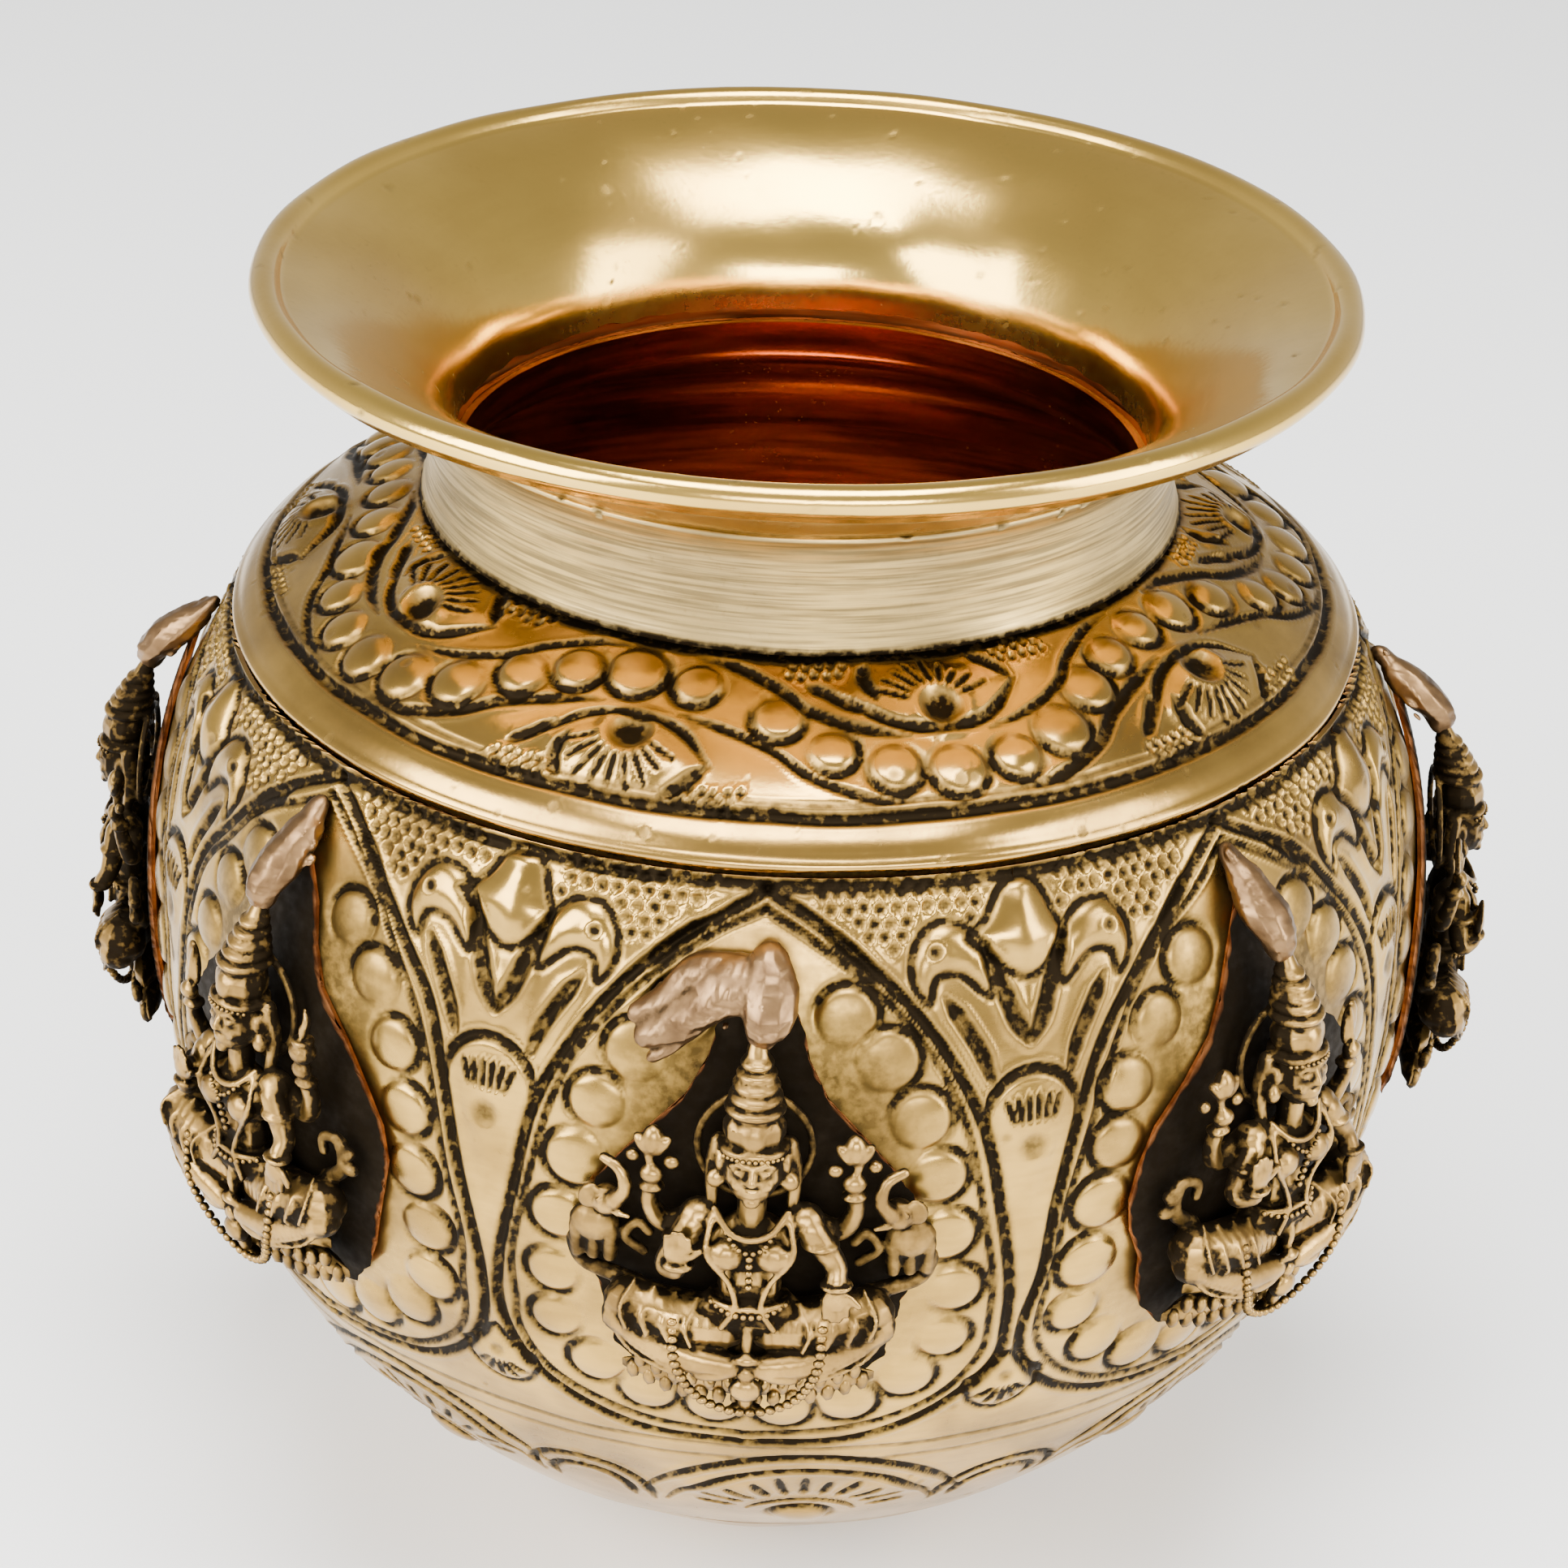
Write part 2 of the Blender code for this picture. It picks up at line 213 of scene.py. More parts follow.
    def hammer(self, seed, amount):
        """The slow unevenness that raising by hand leaves, with small knocks from use."""
        dice = np.random.default_rng(seed)
        for _ in range(26):
            around, along = dice.integers(2, 22), dice.uniform(-0.5, 0.5)
            wave = np.cos(around * self.az[:, None] + along * self.s + dice.uniform(0, TURN))
            self.height += amount / 5 * wave
        for _ in range(240):
            s = dice.uniform(self.s[0] + 3, self.s[-1] - 1)
            self.pit(dice.uniform(0, TURN), s, dice.uniform(0.14, 0.4), dice.uniform(0.01, 0.05), 0.35)

    def worked(self):
        """The points and normals after all the work, with the azimuth going all the way round."""
        points = self.points + self.normals * self.height[..., None]
        across = np.roll(points, -1, 0) - np.roll(points, 1, 0)
        along = np.gradient(points, axis=1)
        normals = np.cross(across, along)
        normals /= np.linalg.norm(normals, axis=-1, keepdims=True) + 1e-12
        return points, normals


def solid(name, points, triangles, normals=None, **marks):
    """A closed mesh object from points in millimetres, with a value at each point for each mark."""
    triangles = np.asarray(triangles, np.int32)
    a, b, c = triangles.T
    triangles = triangles[(a != b) & (b != c) & (c != a)]
    mesh = bpy.data.meshes.new(name)
    mesh.vertices.add(len(points))
    mesh.vertices.foreach_set("co", (np.asarray(points, float) * MM).ravel())
    mesh.loops.add(triangles.size)
    mesh.loops.foreach_set("vertex_index", triangles.ravel())
    mesh.polygons.add(len(triangles))
    mesh.polygons.foreach_set("loop_start", np.arange(0, triangles.size, 3, dtype=np.int32))
    mesh.update(calc_edges=True)
    for mark, values in marks.items():
        mesh.attributes.new(mark, "FLOAT", "POINT").data.foreach_set(
            "value", np.asarray(values, np.float32)
        )
    if normals is not None:
        mesh.normals_split_custom_set_from_vertices(normals)
    made = bpy.data.objects.new(name, mesh)
    bpy.context.scene.collection.objects.link(made)
    return made


def zipped(fine, coarse):
    """Triangles that join a fine edge to a coarse one running beside it."""
    per = (len(fine) - 1) // (len(coarse) - 1)
    made = []
    for j in range(len(coarse) - 1):
        for i in range(j * per, (j + 1) * per):
            made.append((fine[i + 1], fine[i], coarse[j]))
        made.append((fine[(j + 1) * per], coarse[j], coarse[j + 1]))
    return made


def quads(index):
    """Two triangles for each cell of a grid of point numbers."""
    a, b, c, d = index[:-1, :-1], index[1:, :-1], index[1:, 1:], index[:-1, 1:]
    return np.concatenate([np.stack([a, b, c], -1).reshape(-1, 3), np.stack([a, c, d], -1).reshape(-1, 3)])


def sheet_piece(name, outer, normals, soot, inner, pole=False, all_round=False):
    """A closed piece of sheet: a worked outside, a plain inside with fewer points, and its edges."""
    columns, rows = outer.shape[:2]
    few, short = inner.shape[:2]
    front = np.arange(columns * rows).reshape(columns, rows)
    back = columns * rows + np.arange(few * short).reshape(few, short)
    if pole:
        front[:, 0], back[:, 0] = front[0, 0], back[0, 0]
    if all_round:
        front, back = np.vstack([front, front[:1]]), np.vstack([back, back[:1]])
    parts = [quads(front), quads(back)[:, ::-1]]
    parts += [zipped(front[:, 0], back[:, 0]), zipped(front[::-1, -1], back[::-1, -1])]
    if not all_round:
        parts += [zipped(front[-1], back[-1]), zipped(front[0, ::-1], back[0, ::-1])]
    inward = np.gradient(inner, axis=1)
    inward = np.cross(inward, np.roll(inner, -1, 0) - inner if all_round else np.gradient(inner, axis=0))
    inward /= np.linalg.norm(inward, axis=-1, keepdims=True) + 1e-12
    points = np.concatenate([outer.reshape(-1, 3), inner.reshape(-1, 3)])
    faces = np.concatenate([np.array(p, np.int32).reshape(-1, 3) for p in parts])
    facing = np.concatenate([normals.reshape(-1, 3), inward.reshape(-1, 3)])
    plain = np.zeros(inner.shape[0] * inner.shape[1])
    used = np.unique(faces)
    renumber = np.zeros(len(points), np.int32)
    renumber[used] = np.arange(len(used))
    marks = {
        "soot": np.concatenate([soot.ravel(), plain])[used],
        "inside": np.concatenate([0 * soot.ravel(), plain + 1])[used],
    }
    return solid(name, points[used], renumber[faces], facing[used], **marks)


def aged_brass(
    name, gold, dull, roughness, patch=120.0, streaks=(1.0, 1.0, 1.0), streak_mix=0.0, blacking=1.0
):
    """Polished brass that has gone dull in patches, black where the soot-and-shade mark is (soot in lines and
    hollows, and painted shade in places), brown inside.
    """
    material = bpy.data.materials.new(name)
    material.use_nodes = True
    nodes, links = material.node_tree.nodes, material.node_tree.links
    shader = nodes["Principled BSDF"]
    place = nodes.new("ShaderNodeTexCoord").outputs["Object"]

    def noise(scale, detail, stretch=None):
        node = nodes.new("ShaderNodeTexNoise")
        node.inputs["Scale"].default_value = scale
        node.inputs["Detail"].default_value = detail
        if stretch:
            mapping = nodes.new("ShaderNodeMapping")
            mapping.inputs["Scale"].default_value = stretch
            links.new(place, mapping.inputs["Vector"])
            links.new(mapping.outputs["Vector"], node.inputs["Vector"])
        else:
            links.new(place, node.inputs["Vector"])
        return node.outputs["Fac"]

    def spread(value, low, high, to_low=0.0, to_high=1.0):
        node = nodes.new("ShaderNodeMapRange")
        for socket, number in zip(
            ("From Min", "From Max", "To Min", "To Max"), (low, high, to_low, to_high)
        ):
            node.inputs[socket].default_value = number
        links.new(value, node.inputs["Value"])
        return node.outputs["Result"]

    def sums(kind, a, b):
        node = nodes.new("ShaderNodeMath")
        node.operation = kind
        node.use_clamp = kind != "MULTIPLY"
        for socket, value in zip(node.inputs, (a, b)):
            if isinstance(value, (int, float)):
                socket.default_value = value
            else:
                links.new(value, socket)
        return node.outputs[0]

    def blend(fac, a, b):
        node = nodes.new("ShaderNodeMix")
        node.data_type = "RGBA"
        links.new(fac, node.inputs["Factor"])
        for socket, value in ((node.inputs[6], a), (node.inputs[7], b)):
            if isinstance(value, tuple):
                socket.default_value = (*value, 1)
            else:
                links.new(value, socket)
        return node.outputs[2]

    def mark(which):
        node = nodes.new("ShaderNodeAttribute")
        node.attribute_name = which
        return node.outputs["Fac"]

    patches = spread(noise(patch, 5.0), 0.38, 0.68)
    specks = spread(noise(1900.0, 3.0), 0.6, 0.78)
    grain = noise(1.0, 6.0, streaks)
    soot, inside = mark("soot"), mark("inside")
    ragged = sums("MULTIPLY", spread(noise(1300.0, 5.0), 0.35, 0.6, 0.82, 1.3), blacking)
    # The soot-and-shade mark turns the colour black: real soot and patina, and painted shade where it was
    # added.
    black = sums("MULTIPLY", soot, ragged)
    black = sums("ADD", black, sums("MULTIPLY", specks, sums("MULTIPLY", patches, 0.22 * blacking)))
    colour = blend(patches, gold, dull)
    lines = sums("MULTIPLY", spread(grain, 0.42, 0.62), streak_mix)
    colour = blend(lines, colour, tuple(0.42 * v for v in dull))
    colour = blend(black, colour, (0.012, 0.008, 0.004))
    rust = blend(
        spread(noise(1.0, 7.0, (70.0, 70.0, 900.0)), 0.4, 0.62), (0.62, 0.235, 0.075), (0.28, 0.085, 0.026)
    )
    links.new(blend(inside, colour, rust), shader.inputs["Base Color"])
    shader.inputs["Metallic"].default_value = 1.0
    rough = sums("ADD", spread(patches, 0, 1, roughness, roughness + 0.1), sums("MULTIPLY", black, 0.4))
    rough = sums("ADD", rough, sums("MULTIPLY", lines, 0.14))
    links.new(rough, shader.inputs["Roughness"])
    bump = nodes.new("ShaderNodeBump")
    bump.inputs["Strength"].default_value = 0.3
    bump.inputs["Distance"].default_value = 0.00006
    links.new(
        sums("ADD", sums("MULTIPLY", noise(1500.0, 4.0), 0.5), sums("MULTIPLY", grain, 0.5)),
        bump.inputs["Height"]
    )
    links.new(bump.outputs["Normal"], shader.inputs["Normal"])
    return material


def finished(piece, material, node):
    """Gives a piece its material and ties it to the pot in place of its plain part."""
    piece.data.materials.clear()
    piece.data.materials.append(material)
    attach(piece, "root")
    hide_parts(*([node] if isinstance(node, str) else node))


belly_outline = Outline(
    np.vstack(
        [
            [(0.0, 0.35), (16.0, 0.3), (17.6, 0.05), (BASE_R, 0.0)],
            bend((BASE_R, 0), (26.4, 6.65), (BELLY_R, 17.75), (BELLY_R, 50), 160)[1:],
            bend((BELLY_R, 50), (BELLY_R, 64.4), (43.4, 70.6), (42.2, 73.2), 80)[1:],
        ]
    )
)
plain_s, worked_s, top_s = BASE_R, belly_outline.at_height(9.0), belly_outline.s[-1]
belly_rows = np.concatenate(
    [
        np.linspace(0, plain_s, 9)[:-1],
        np.linspace(plain_s, worked_s, 25)[:-1],
        np.linspace(worked_s, top_s, 288 + 1),
    ]
)
belly = ChasedSheet(belly_outline, belly_rows, BAYS * BAY_COLUMNS)
belly.hammer(11, 0.07)


def up(z):
    return belly_outline.at_height(z)


def arch_line(spread=0.0):
    """One side of an arch as (degrees from its middle, height), from its point down to its foot."""
    side = [(0, 72.5), (4, 70.9), (8.5, 68.6), (12.6, 65.4), (16, 61.4), (18.4, 56.5), (20, 50), (21.2, 44)]
    side += [(21.7, 40), (21.2, 36.4), (18.6, 33.0), (14.2, 30.4), (8.6, 28.9), (0, 28.2)]
    middle = np.array([0.0, 50.0])
    points = np.array(side, float)
    drawn = points - middle
    drawn[:, 0] *= 1 - spread / 18.0
    drawn[:, 1] *= 1 - spread / 22.0
    return drawn + middle


for bay in range(BAYS):
    dice = np.random.default_rng(300 + bay)
    middle = bay * BAY
    for side in (-1, 1):
        for spread, width, depth, ink in ((0.0, 0.32, 0.36, 1.0), (1.1, 0.22, 0.22, 0.85)):
            line = arch_line(spread)
            line[1:-1] += dice.normal(0, 0.16, line[1:-1].shape)
            path = [(middle + side * math.radians(a), up(z)) for a, z in line]
            belly.stroke(path, width, depth, ends=(1.0, 1.0), ink=ink)
    # A row of bosses follows the inside of the arch down both sides and along its foot.
    inner = arch_line(4.0)
    ring = np.array([(math.radians(a) * belly_outline.r(up(z)), up(z)) for a, z in inner])
    length = np.concatenate([[0], np.cumsum(np.hypot(*np.diff(ring, axis=0).T))])
    for side in (-1, 1):
        for far in np.arange(6.5, length[-1] - 1.5, 4.75):
            x, s = (np.interp(far, length, ring[:, k]) for k in (0, 1))
            facing = math.atan2(s - up(48), side * x) + dice.normal(0, 0.35)
            az = middle + side * x / belly_outline.r(s)
            belly.disc(
                az + dice.normal(0, 0.004), s + dice.normal(0, 0.15), 2.2 + dice.normal(0, 0.1), 0.42,
                facing
            )
    # The arch floor stands proud of the ground, so that the figure sits on a soft cushion of metal.
    belly.leaf(
        middle, up(50), [(-8, -12), (0, -15), (8, -12), (9.5, 0), (6, 12), (0, 17), (-6, 12), (-9.5, 0)],
        0.25, 5.0
    )

    # The lotus column between two arches: a three-lobed crown, gouged petals, a fan and a seed.
    border = middle + BAY / 2
    crown = up(62.4) + dice.normal(0, 0.2)
    lean = dice.normal(0, 0.25)
    top_lobe = [
        (-3.9, 7.3), (-2.4, 8.6), (-1.2, 10.5), (0.5 + lean, 11.1), (1.6, 10.2), (2.4, 8.2), (2.9, 6.6),
        (0, 4.2)
    ]
    belly.leaf(border, crown, top_lobe, 0.95, 2.8, 0.3)
    for side in (-1, 1):
        lobe = [
            (2.7, 6.9), (4.2, 8.4), (6.2, 8.5), (7.6, 6.9), (7.9, 4.8), (6.9, 3.2), (6.3, 4.9), (4.6, 5.0),
            (2.6, 3.4)
        ]
        belly.leaf(border, crown, [(side * x, y + side * lean) for x, y in lobe], 0.6, 1.4, 0.3)
        belly.pit(border + side * 6.2 / 44.5, crown + 6.7, 0.42, 0.14, 0.9)
        petals = [
            [(2.9, 7.0), (1.9, 4.2), (0.9, 1.3), (0.1, 0)],
            [(5.8, 3.6), (4.6, 1.5), (3.5, -0.6), (2.9, -2.5)]
        ]
        for petal, press in zip(petals, (0.46, 0.4)):
            path = [(border + side * x / belly_outline.r(crown + y), crown + y) for x, y in petal]
            belly.stroke(path, press, 0.42, ends=(0.45, 0.7), ink=0.9)
        hatch = [
            (2.6, 8.3), (3.0, 11.6), (14.8, 11.9), (12.8, 9.5), (10.4, 7.4), (8.9, 6.0), (8.1, 7.4),
            (6.3, 9.2), (4.2, 9.0)
        ]
        belly.ground(border, crown, [(side * x, y) for x, y in hatch], 1.08, dice)
        slash = [(border + side * x / 44.0, crown + y) for x, y in ((13.6, 8.6), (11.6, 6.8), (10.0, 5.0))]
        belly.stroke(slash, 0.42, 0.36, ends=(0.2, 0.6))
    fan = crown - 5.3
    belly.leaf(
        border, fan,
        [(-3.1, 0), (-2.2, 2.3), (0, 3.2), (2.2, 2.3), (3.1, 0), (1.6, -4.5), (0, -7), (-1.6, -4.5)], 0.3,
        1.8
    )
    arc = [(border + 3.2 * math.cos(t) / 46.6, fan + 3.2 * math.sin(t))
        for t in np.linspace(-0.25, math.pi + 0.25, 12)]
    belly.stroke(arc, 0.3, 0.3)
    for t in np.linspace(-1.7, 1.7, 6):
        ray = [
            (border + (t * 0.8) / 46.6, fan - 0.4), (border + t / 46.6, fan + 0.7),
            (border + (t * 1.15) / 46.6, fan + 1.7 - abs(t) * 0.25)
        ]
        belly.stroke(ray, 0.18, 0.22, ends=(0.8, 0.3))
    belly.pit(border, fan - 2.4, 0.9, 0.16, 0.62)

    # A small rayed half flower closes the gap where the column comes to its point.
    bud = up(33.6)
    belly.leaf(
        border, bud,
        [(-2.9, 0.6), (-2.1, -2.0), (0, -3.1), (2.1, -2.0), (2.9, 0.6), (1.2, 1.6), (0, 3.2), (-1.2, 1.6)],
        0.45, 1.6, 0.26
    )
    for t in np.linspace(-1.0, 1.0, 5):
        ray = [
            (border + 0.9 * math.sin(t) / 46, bud - 0.4 * math.cos(t)),
            (border + 2.3 * math.sin(t) / 46, bud - 2.3 * math.cos(t))
        ]
        belly.stroke(ray, 0.18, 0.2, ends=(0.5, 0.5))
    belly.pit(border, bud + 0.9, 0.5, 0.1, 0.6)

    # The base flower under each arch: a boss, a ring of rays, and two long petal arcs over it.
    root_az, root_s = middle + math.radians(5) + dice.normal(0, 0.01), up(15.8)

    def on_base(radius, angle, root_az=root_az, root_s=root_s):
        s = root_s + radius * math.sin(angle)
        return root_az + radius * math.cos(angle) / belly_outline.r(s), s

    belly.disc(*on_base(0, 0), 2.3, 0.5, math.pi / 2)
    for radius, width, low in ((4.1, 0.22, 0.25), (10.0, 0.3, 0.16), (12.3, 0.36, 0.30)):
        belly.stroke([on_base(radius, t) for t in np.linspace(low, math.pi - low, 18)], width, 0.34)
    for t in np.linspace(0.35, math.pi - 0.35, 11):
        belly.stroke(
            [on_base(5.2, t), on_base(6.6, t), on_base(8.1 + dice.normal(0, 0.3), t)], 0.24, 0.26,
            ends=(0.3, 0.8)
        )
    for side in (-1, 1):
        for reach in (3.0, 4.4):
            petal = [(middle + math.radians(27.5) + side * reach * math.sin(t) / 36.0,
                up(17.5) + 5.8 * math.cos(t) * reach / 4.4) for t in (0, 0.6, 1.2, 1.8)]
            belly.stroke(petal, 0.3, 0.28, ends=(0.9, 0.3))
        belly.leaf(
            *on_base(8.6, math.pi / 2 + side * 0.8),
            [(-3, -1.5), (0, -2.2), (3, -1.5), (3, 1.5), (0, 2.2), (-3, 1.5)], 0.22, 1.8
        )

dice = np.random.default_rng(41)
for z, width, depth, ink in (
    (BAND_Z + 0.9, 0.16, 0.1, 0.55), (BAND_Z - 0.8, 0.16, 0.08, 0.5), (72.7, 0.34, 0.3, 0.95),
    (10.5, 0.18, 0.1, 0.55)
):
    ring = [(t, up(z) + dice.normal(0, 0.05)) for t in np.linspace(0, TURN, 90)]
    ring[-1] = (TURN, ring[0][1])
    belly.stroke(ring, width, depth, ends=(1.0, 1.0), ink=ink)

# The belly round and behind each figure is painted darker: painted shade cast by the figure, added to the soot
# in the chased lines.
belly_points, belly_normals = belly.worked()
belly_soot = np.clip(belly.soot, 0, 1)
for bay in range(BAYS):
    spot, x, y = belly.around(bay * BAY, up(52), 19.0)
    shade = np.exp(-((x / 10.5) ** 4) - ((y / 16.0) ** 4))
    belly_soot[spot] = np.maximum(belly_soot[spot], 0.75 * shade)
belly_brass = aged_brass(
    "chased belly brass", (0.56, 0.338, 0.076), (0.28, 0.165, 0.04), 0.17, streaks=(300.0, 300.0, 1400.0),
    streak_mix=0.12
)
inner_rows = np.linspace(0, len(belly_rows) - 1, (len(belly_rows) - 1) // COARSE + 1).astype(int)
for bay in range(BAYS):
    columns = (np.arange(-BAY_COLUMNS // 2, BAY_COLUMNS // 2 + 1) + bay * BAY_COLUMNS) % (BAYS * BAY_COLUMNS)
    plain = belly.points[np.ix_(columns[::COARSE],
        inner_rows)] - WALL * belly.normals[np.ix_(columns[::COARSE], inner_rows)]
    piece = sheet_piece(
        f"belly_bay_{bay + 1}", belly_points[columns], belly_normals[columns], belly_soot[columns], plain,
            pole=True
    )
    finished(piece, belly_brass, "belly_shell")

# The shoulder: a second sheet, domed and chased with five pairs of leaf-shaped eyes and a winding
# row of bosses. Its raised rim is a bead between two grooves, lapped into the belly and soldered.
EYES = 5
RIM_R, RIM_Z = 42.05, 73.5
FOOT_R, FOOT_Z = 27.9, 82.0
shoulder_outline = Outline(
    np.vstack(
        [
            [(40.8, 70.2), (40.85, 73.2)],
            bend(
                (RIM_R - 0.5, RIM_Z - 0.15), (RIM_R + 0.1, RIM_Z), (RIM_R + 0.25, RIM_Z + 0.5),
                (41.6, 74.35), 14
            ),
            bend((41.6, 74.35), (41.2, 75.0), (40.6, 75.6), (39.75, 75.95), 12)[1:],
            bend((39.75, 75.95), (39.4, 75.8), (39.4, 76.3), (39.0, 76.75), 8)[1:],
            bend((39.0, 76.75), (35.7, 79.2), (29.9, 81.4), (FOOT_R, FOOT_Z), 90)[1:],
            [(26.9, 82.15), (26.3, 82.6), (26.3, 85.2)],
        ]
    )
)


def on_dome(z):
    return shoulder_outline.at_height(z)


groove_s, foot_s, end_s = on_dome(76.3), on_dome(FOOT_Z), shoulder_outline.s[-1]
shoulder_rows = np.concatenate([[0, 1.5, 2.9], np.linspace(3.05, foot_s + 0.6, 75),
    np.linspace(foot_s + 1.0, end_s, 3)])
shoulder = ChasedSheet(shoulder_outline, shoulder_rows, 1120)
shoulder.hammer(12, 0.07)
dice = np.random.default_rng(77)
low_eye_s, high_eye_s = groove_s + 3.9, groove_s + 9.0


def ribbon(az, offset=0.0):
    """How far along the sheet the winding row runs at an azimuth: under one eye, then over the next."""
    swing = math.cos(EYES * (az - math.radians(19.8)))
    return groove_s + 6.5 - 3.6 * swing * abs(swing) ** -0.25 + offset if swing else groove_s + 6.5 + offset


az, count = 0.0, 0
while az < TURN - 0.07:
    s = ribbon(az)
    slope = (ribbon(az + 0.01) - s) / 0.01 / shoulder_outline.r(s)
    facing = math.radians(-90) + dice.normal(0, 0.4) + slope * 0.5
    shoulder.disc(az, s, 1.95 + dice.normal(0, 0.12), 0.42, facing, depth=0.26)
    az += 4.35 / shoulder_outline.r(s) / math.hypot(1, slope)
    count += 1
for eye in range(EYES):
    for up_side, s0 in ((1, high_eye_s), (-1, low_eye_s)):
        az0 = math.radians(19.8) + eye * TURN / EYES + (0 if up_side > 0 else math.pi / EYES) + dice.normal(
            0, 0.012
        )
        s0 = s0 + dice.normal(0, 0.12)

        def at(x, y, az0=az0, s0=s0, up_side=up_side):
            s = s0 + y * up_side
            return az0 + x / shoulder_outline.r(s), s

        lid = [
            (-6.4, 1.0), (-3.4, -1.7), (0, -2.6), (3.4, -1.9), (6.3, 0.8), (4.2, 2.6), (0, 3.3),
            (-3.9, 2.5)
        ]
        shoulder.leaf(az0, s0, [(x, y * up_side) for x, y in lid], 0.55, 2.2)
        shoulder.stroke([at(x, y) for x, y in lid[:5]], 0.3, 0.3, ends=(0.3, 0.4))
        shoulder.stroke([at(-8.3, 1.8), at(-7.0, 1.0), at(-5.3, -0.6)], 0.34, 0.3, ends=(0.2, 0.6))
        shoulder.stroke([at(-3.7, 3.5), at(-4.4, 2.0), at(-3.9, 0.1)], 0.36, 0.3)
        shoulder.stroke([at(3.5, 3.7), at(4.7, 2.6), at(6.0, 0.9)], 0.36, 0.3)
        for t in np.linspace(0.42, math.pi - 0.42, 9):
            far = 4.3 + dice.normal(0, 0.25)
            ray = [at(r * math.cos(t), -1.0 + r * math.sin(t)) for r in (1.9, 3.0, far)]
            shoulder.stroke(ray, 0.15, 0.17, ends=(0.4, 0.9))
        shoulder.pit(*at(0.3, -0.9), 1.25, 0.55, 1.0)
        for side in (-1, 1):
            patch = [
                (side * 5.4, up_side * 1.9), (side * 9.6, up_side * 2.7), (side * 8.9, up_side * 4.1),
                (side * 4.6, up_side * 4.0)
            ]
            shoulder.ground(az0, s0, patch, 0.85, dice)
for offset, width, depth in ((2.75, 0.26, 0.24), (-2.75, 0.26, 0.24)):
    for eye in range(2 * EYES):
        start = math.radians(19.8) + (eye + 0.13) * math.pi / EYES
        path = []
        for t in np.linspace(0, 0.74 * math.pi / EYES, 12):
            s = min(max(ribbon(start + t, offset), groove_s + 0.9), foot_s - 0.7)
            path.append((start + t, s))
        shoulder.stroke(path, width * (1.35 if eye % 2 == (offset > 0) else 1.0), depth, ends=(0.3, 0.3))
for s, width, depth, ink in (
    (on_dome(76.15), 0.36, 0.3, 0.95), (groove_s + 0.75, 0.18, 0.12, 0.6), (foot_s + 0.35, 0.5, 0.12, 1.0),
    (3.3, 0.3, 0.12, 1.0)
):
    ring = [(t, s + dice.normal(0, 0.06)) for t in np.linspace(0, TURN, 80)]
    ring[-1] = (TURN, ring[0][1])
    shoulder.stroke(ring, width, depth, ends=(1.0, 1.0), ink=ink)
shoulder_points, shoulder_normals = shoulder.worked()
shoulder_brass = aged_brass(
    "chased shoulder brass", (0.60, 0.36, 0.085), (0.29, 0.17, 0.042), 0.16, patch=90.0,
    streaks=(300.0, 300.0, 1400.0), streak_mix=0.1
)
under = Outline([(39.7, 70.2), (39.7, 74.3), (38.2, 75.6), (34.0, 78.4), (29.0, 80.6), (25.4, 81.4), (25.2,
    85.2)])
under_s = np.linspace(0, under.s[-1], 11)
under_az = shoulder.az[::COARSE, None]
inner = np.stack(
    [
        under.r(under_s) * np.sin(under_az), -under.r(under_s) * np.cos(under_az),
        under.z(under_s) + 0 * under_az
    ],
    -1
)
piece = sheet_piece(
    "shoulder_sheet", shoulder_points, shoulder_normals, np.clip(shoulder.soot, 0, 1), inner,
    all_round=True
)
finished(piece, shoulder_brass, "shoulder_shell")

# The neck collar: a short band of strip brass, soldered over the two spigots and filed round by
# hand, so it is paler than the rest, ruled all over with file marks and pitted along its edges.
collar_low, collar_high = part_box("neck_collar")
mouth_low, mouth_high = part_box("mouth_flare")
COLLAR_R, COLLAR_BORE = collar_high.x / MM, 26.6
COLLAR_Z = collar_low.z / MM
COLLAR_TOP = 91.2  # filed on past the ring itself, up the mouth's underside

collar_outline = Outline(
    np.vstack(
        [
            [(COLLAR_R + 0.0, COLLAR_Z)],
            bend(
                (COLLAR_R + 0.45, COLLAR_Z + 0.12), (COLLAR_R + 0.1, COLLAR_Z + 0.7),
                (COLLAR_R - 0.25, COLLAR_Z + 2.2), (COLLAR_R - 0.3, COLLAR_Z + 3.8), 20
            ),
            bend(
                (COLLAR_R - 0.3, COLLAR_Z + 3.8), (COLLAR_R - 0.3, COLLAR_Z + 6.0),
                (COLLAR_R - 0.2, COLLAR_Z + 7.4), (COLLAR_R + 0.45, COLLAR_TOP - 0.25), 26
            )[1:],
            [(COLLAR_R + 0.4, COLLAR_TOP), (COLLAR_BORE + 0.45, COLLAR_TOP)],
        ]
    )
)
collar = ChasedSheet(collar_outline, np.linspace(0, collar_outline.s[-1], 49), 720)
dice = np.random.default_rng(5)
for _ in range(420):
    az, s, long = dice.uniform(0, TURN), dice.uniform(
        0.8, collar_outline.s[-1] - 1.4
    ), dice.uniform(0.05, 0.3)
    spot, x, y = collar.around(az, s, 9.0)
    mark = np.exp(-((y / dice.uniform(0.1, 0.25)) ** 2) - (x / (long * COLLAR_R)) ** 4)
    collar.height[spot] -= dice.uniform(0.004, 0.03) * mark
    collar.blacken(spot, dice.uniform(0.02, 0.16) * mark)
for _ in range(34):
    s = dice.choice([collar_outline.s[-1] - 1.3, collar_outline.s[-1] - 0.95, 0.5]) + dice.normal(0, 0.2)
    collar.pit(dice.uniform(0, TURN), s, dice.uniform(0.14, 0.42), dice.uniform(0.1, 0.3), 0.95)
ring = [(t, 0.2 + abs(dice.normal(0, 0.12))) for t in np.linspace(0, TURN, 90)]
ring[-1] = (TURN, ring[0][1])
collar.stroke(ring, 0.32, 0.08, ends=(1.0, 1.0))
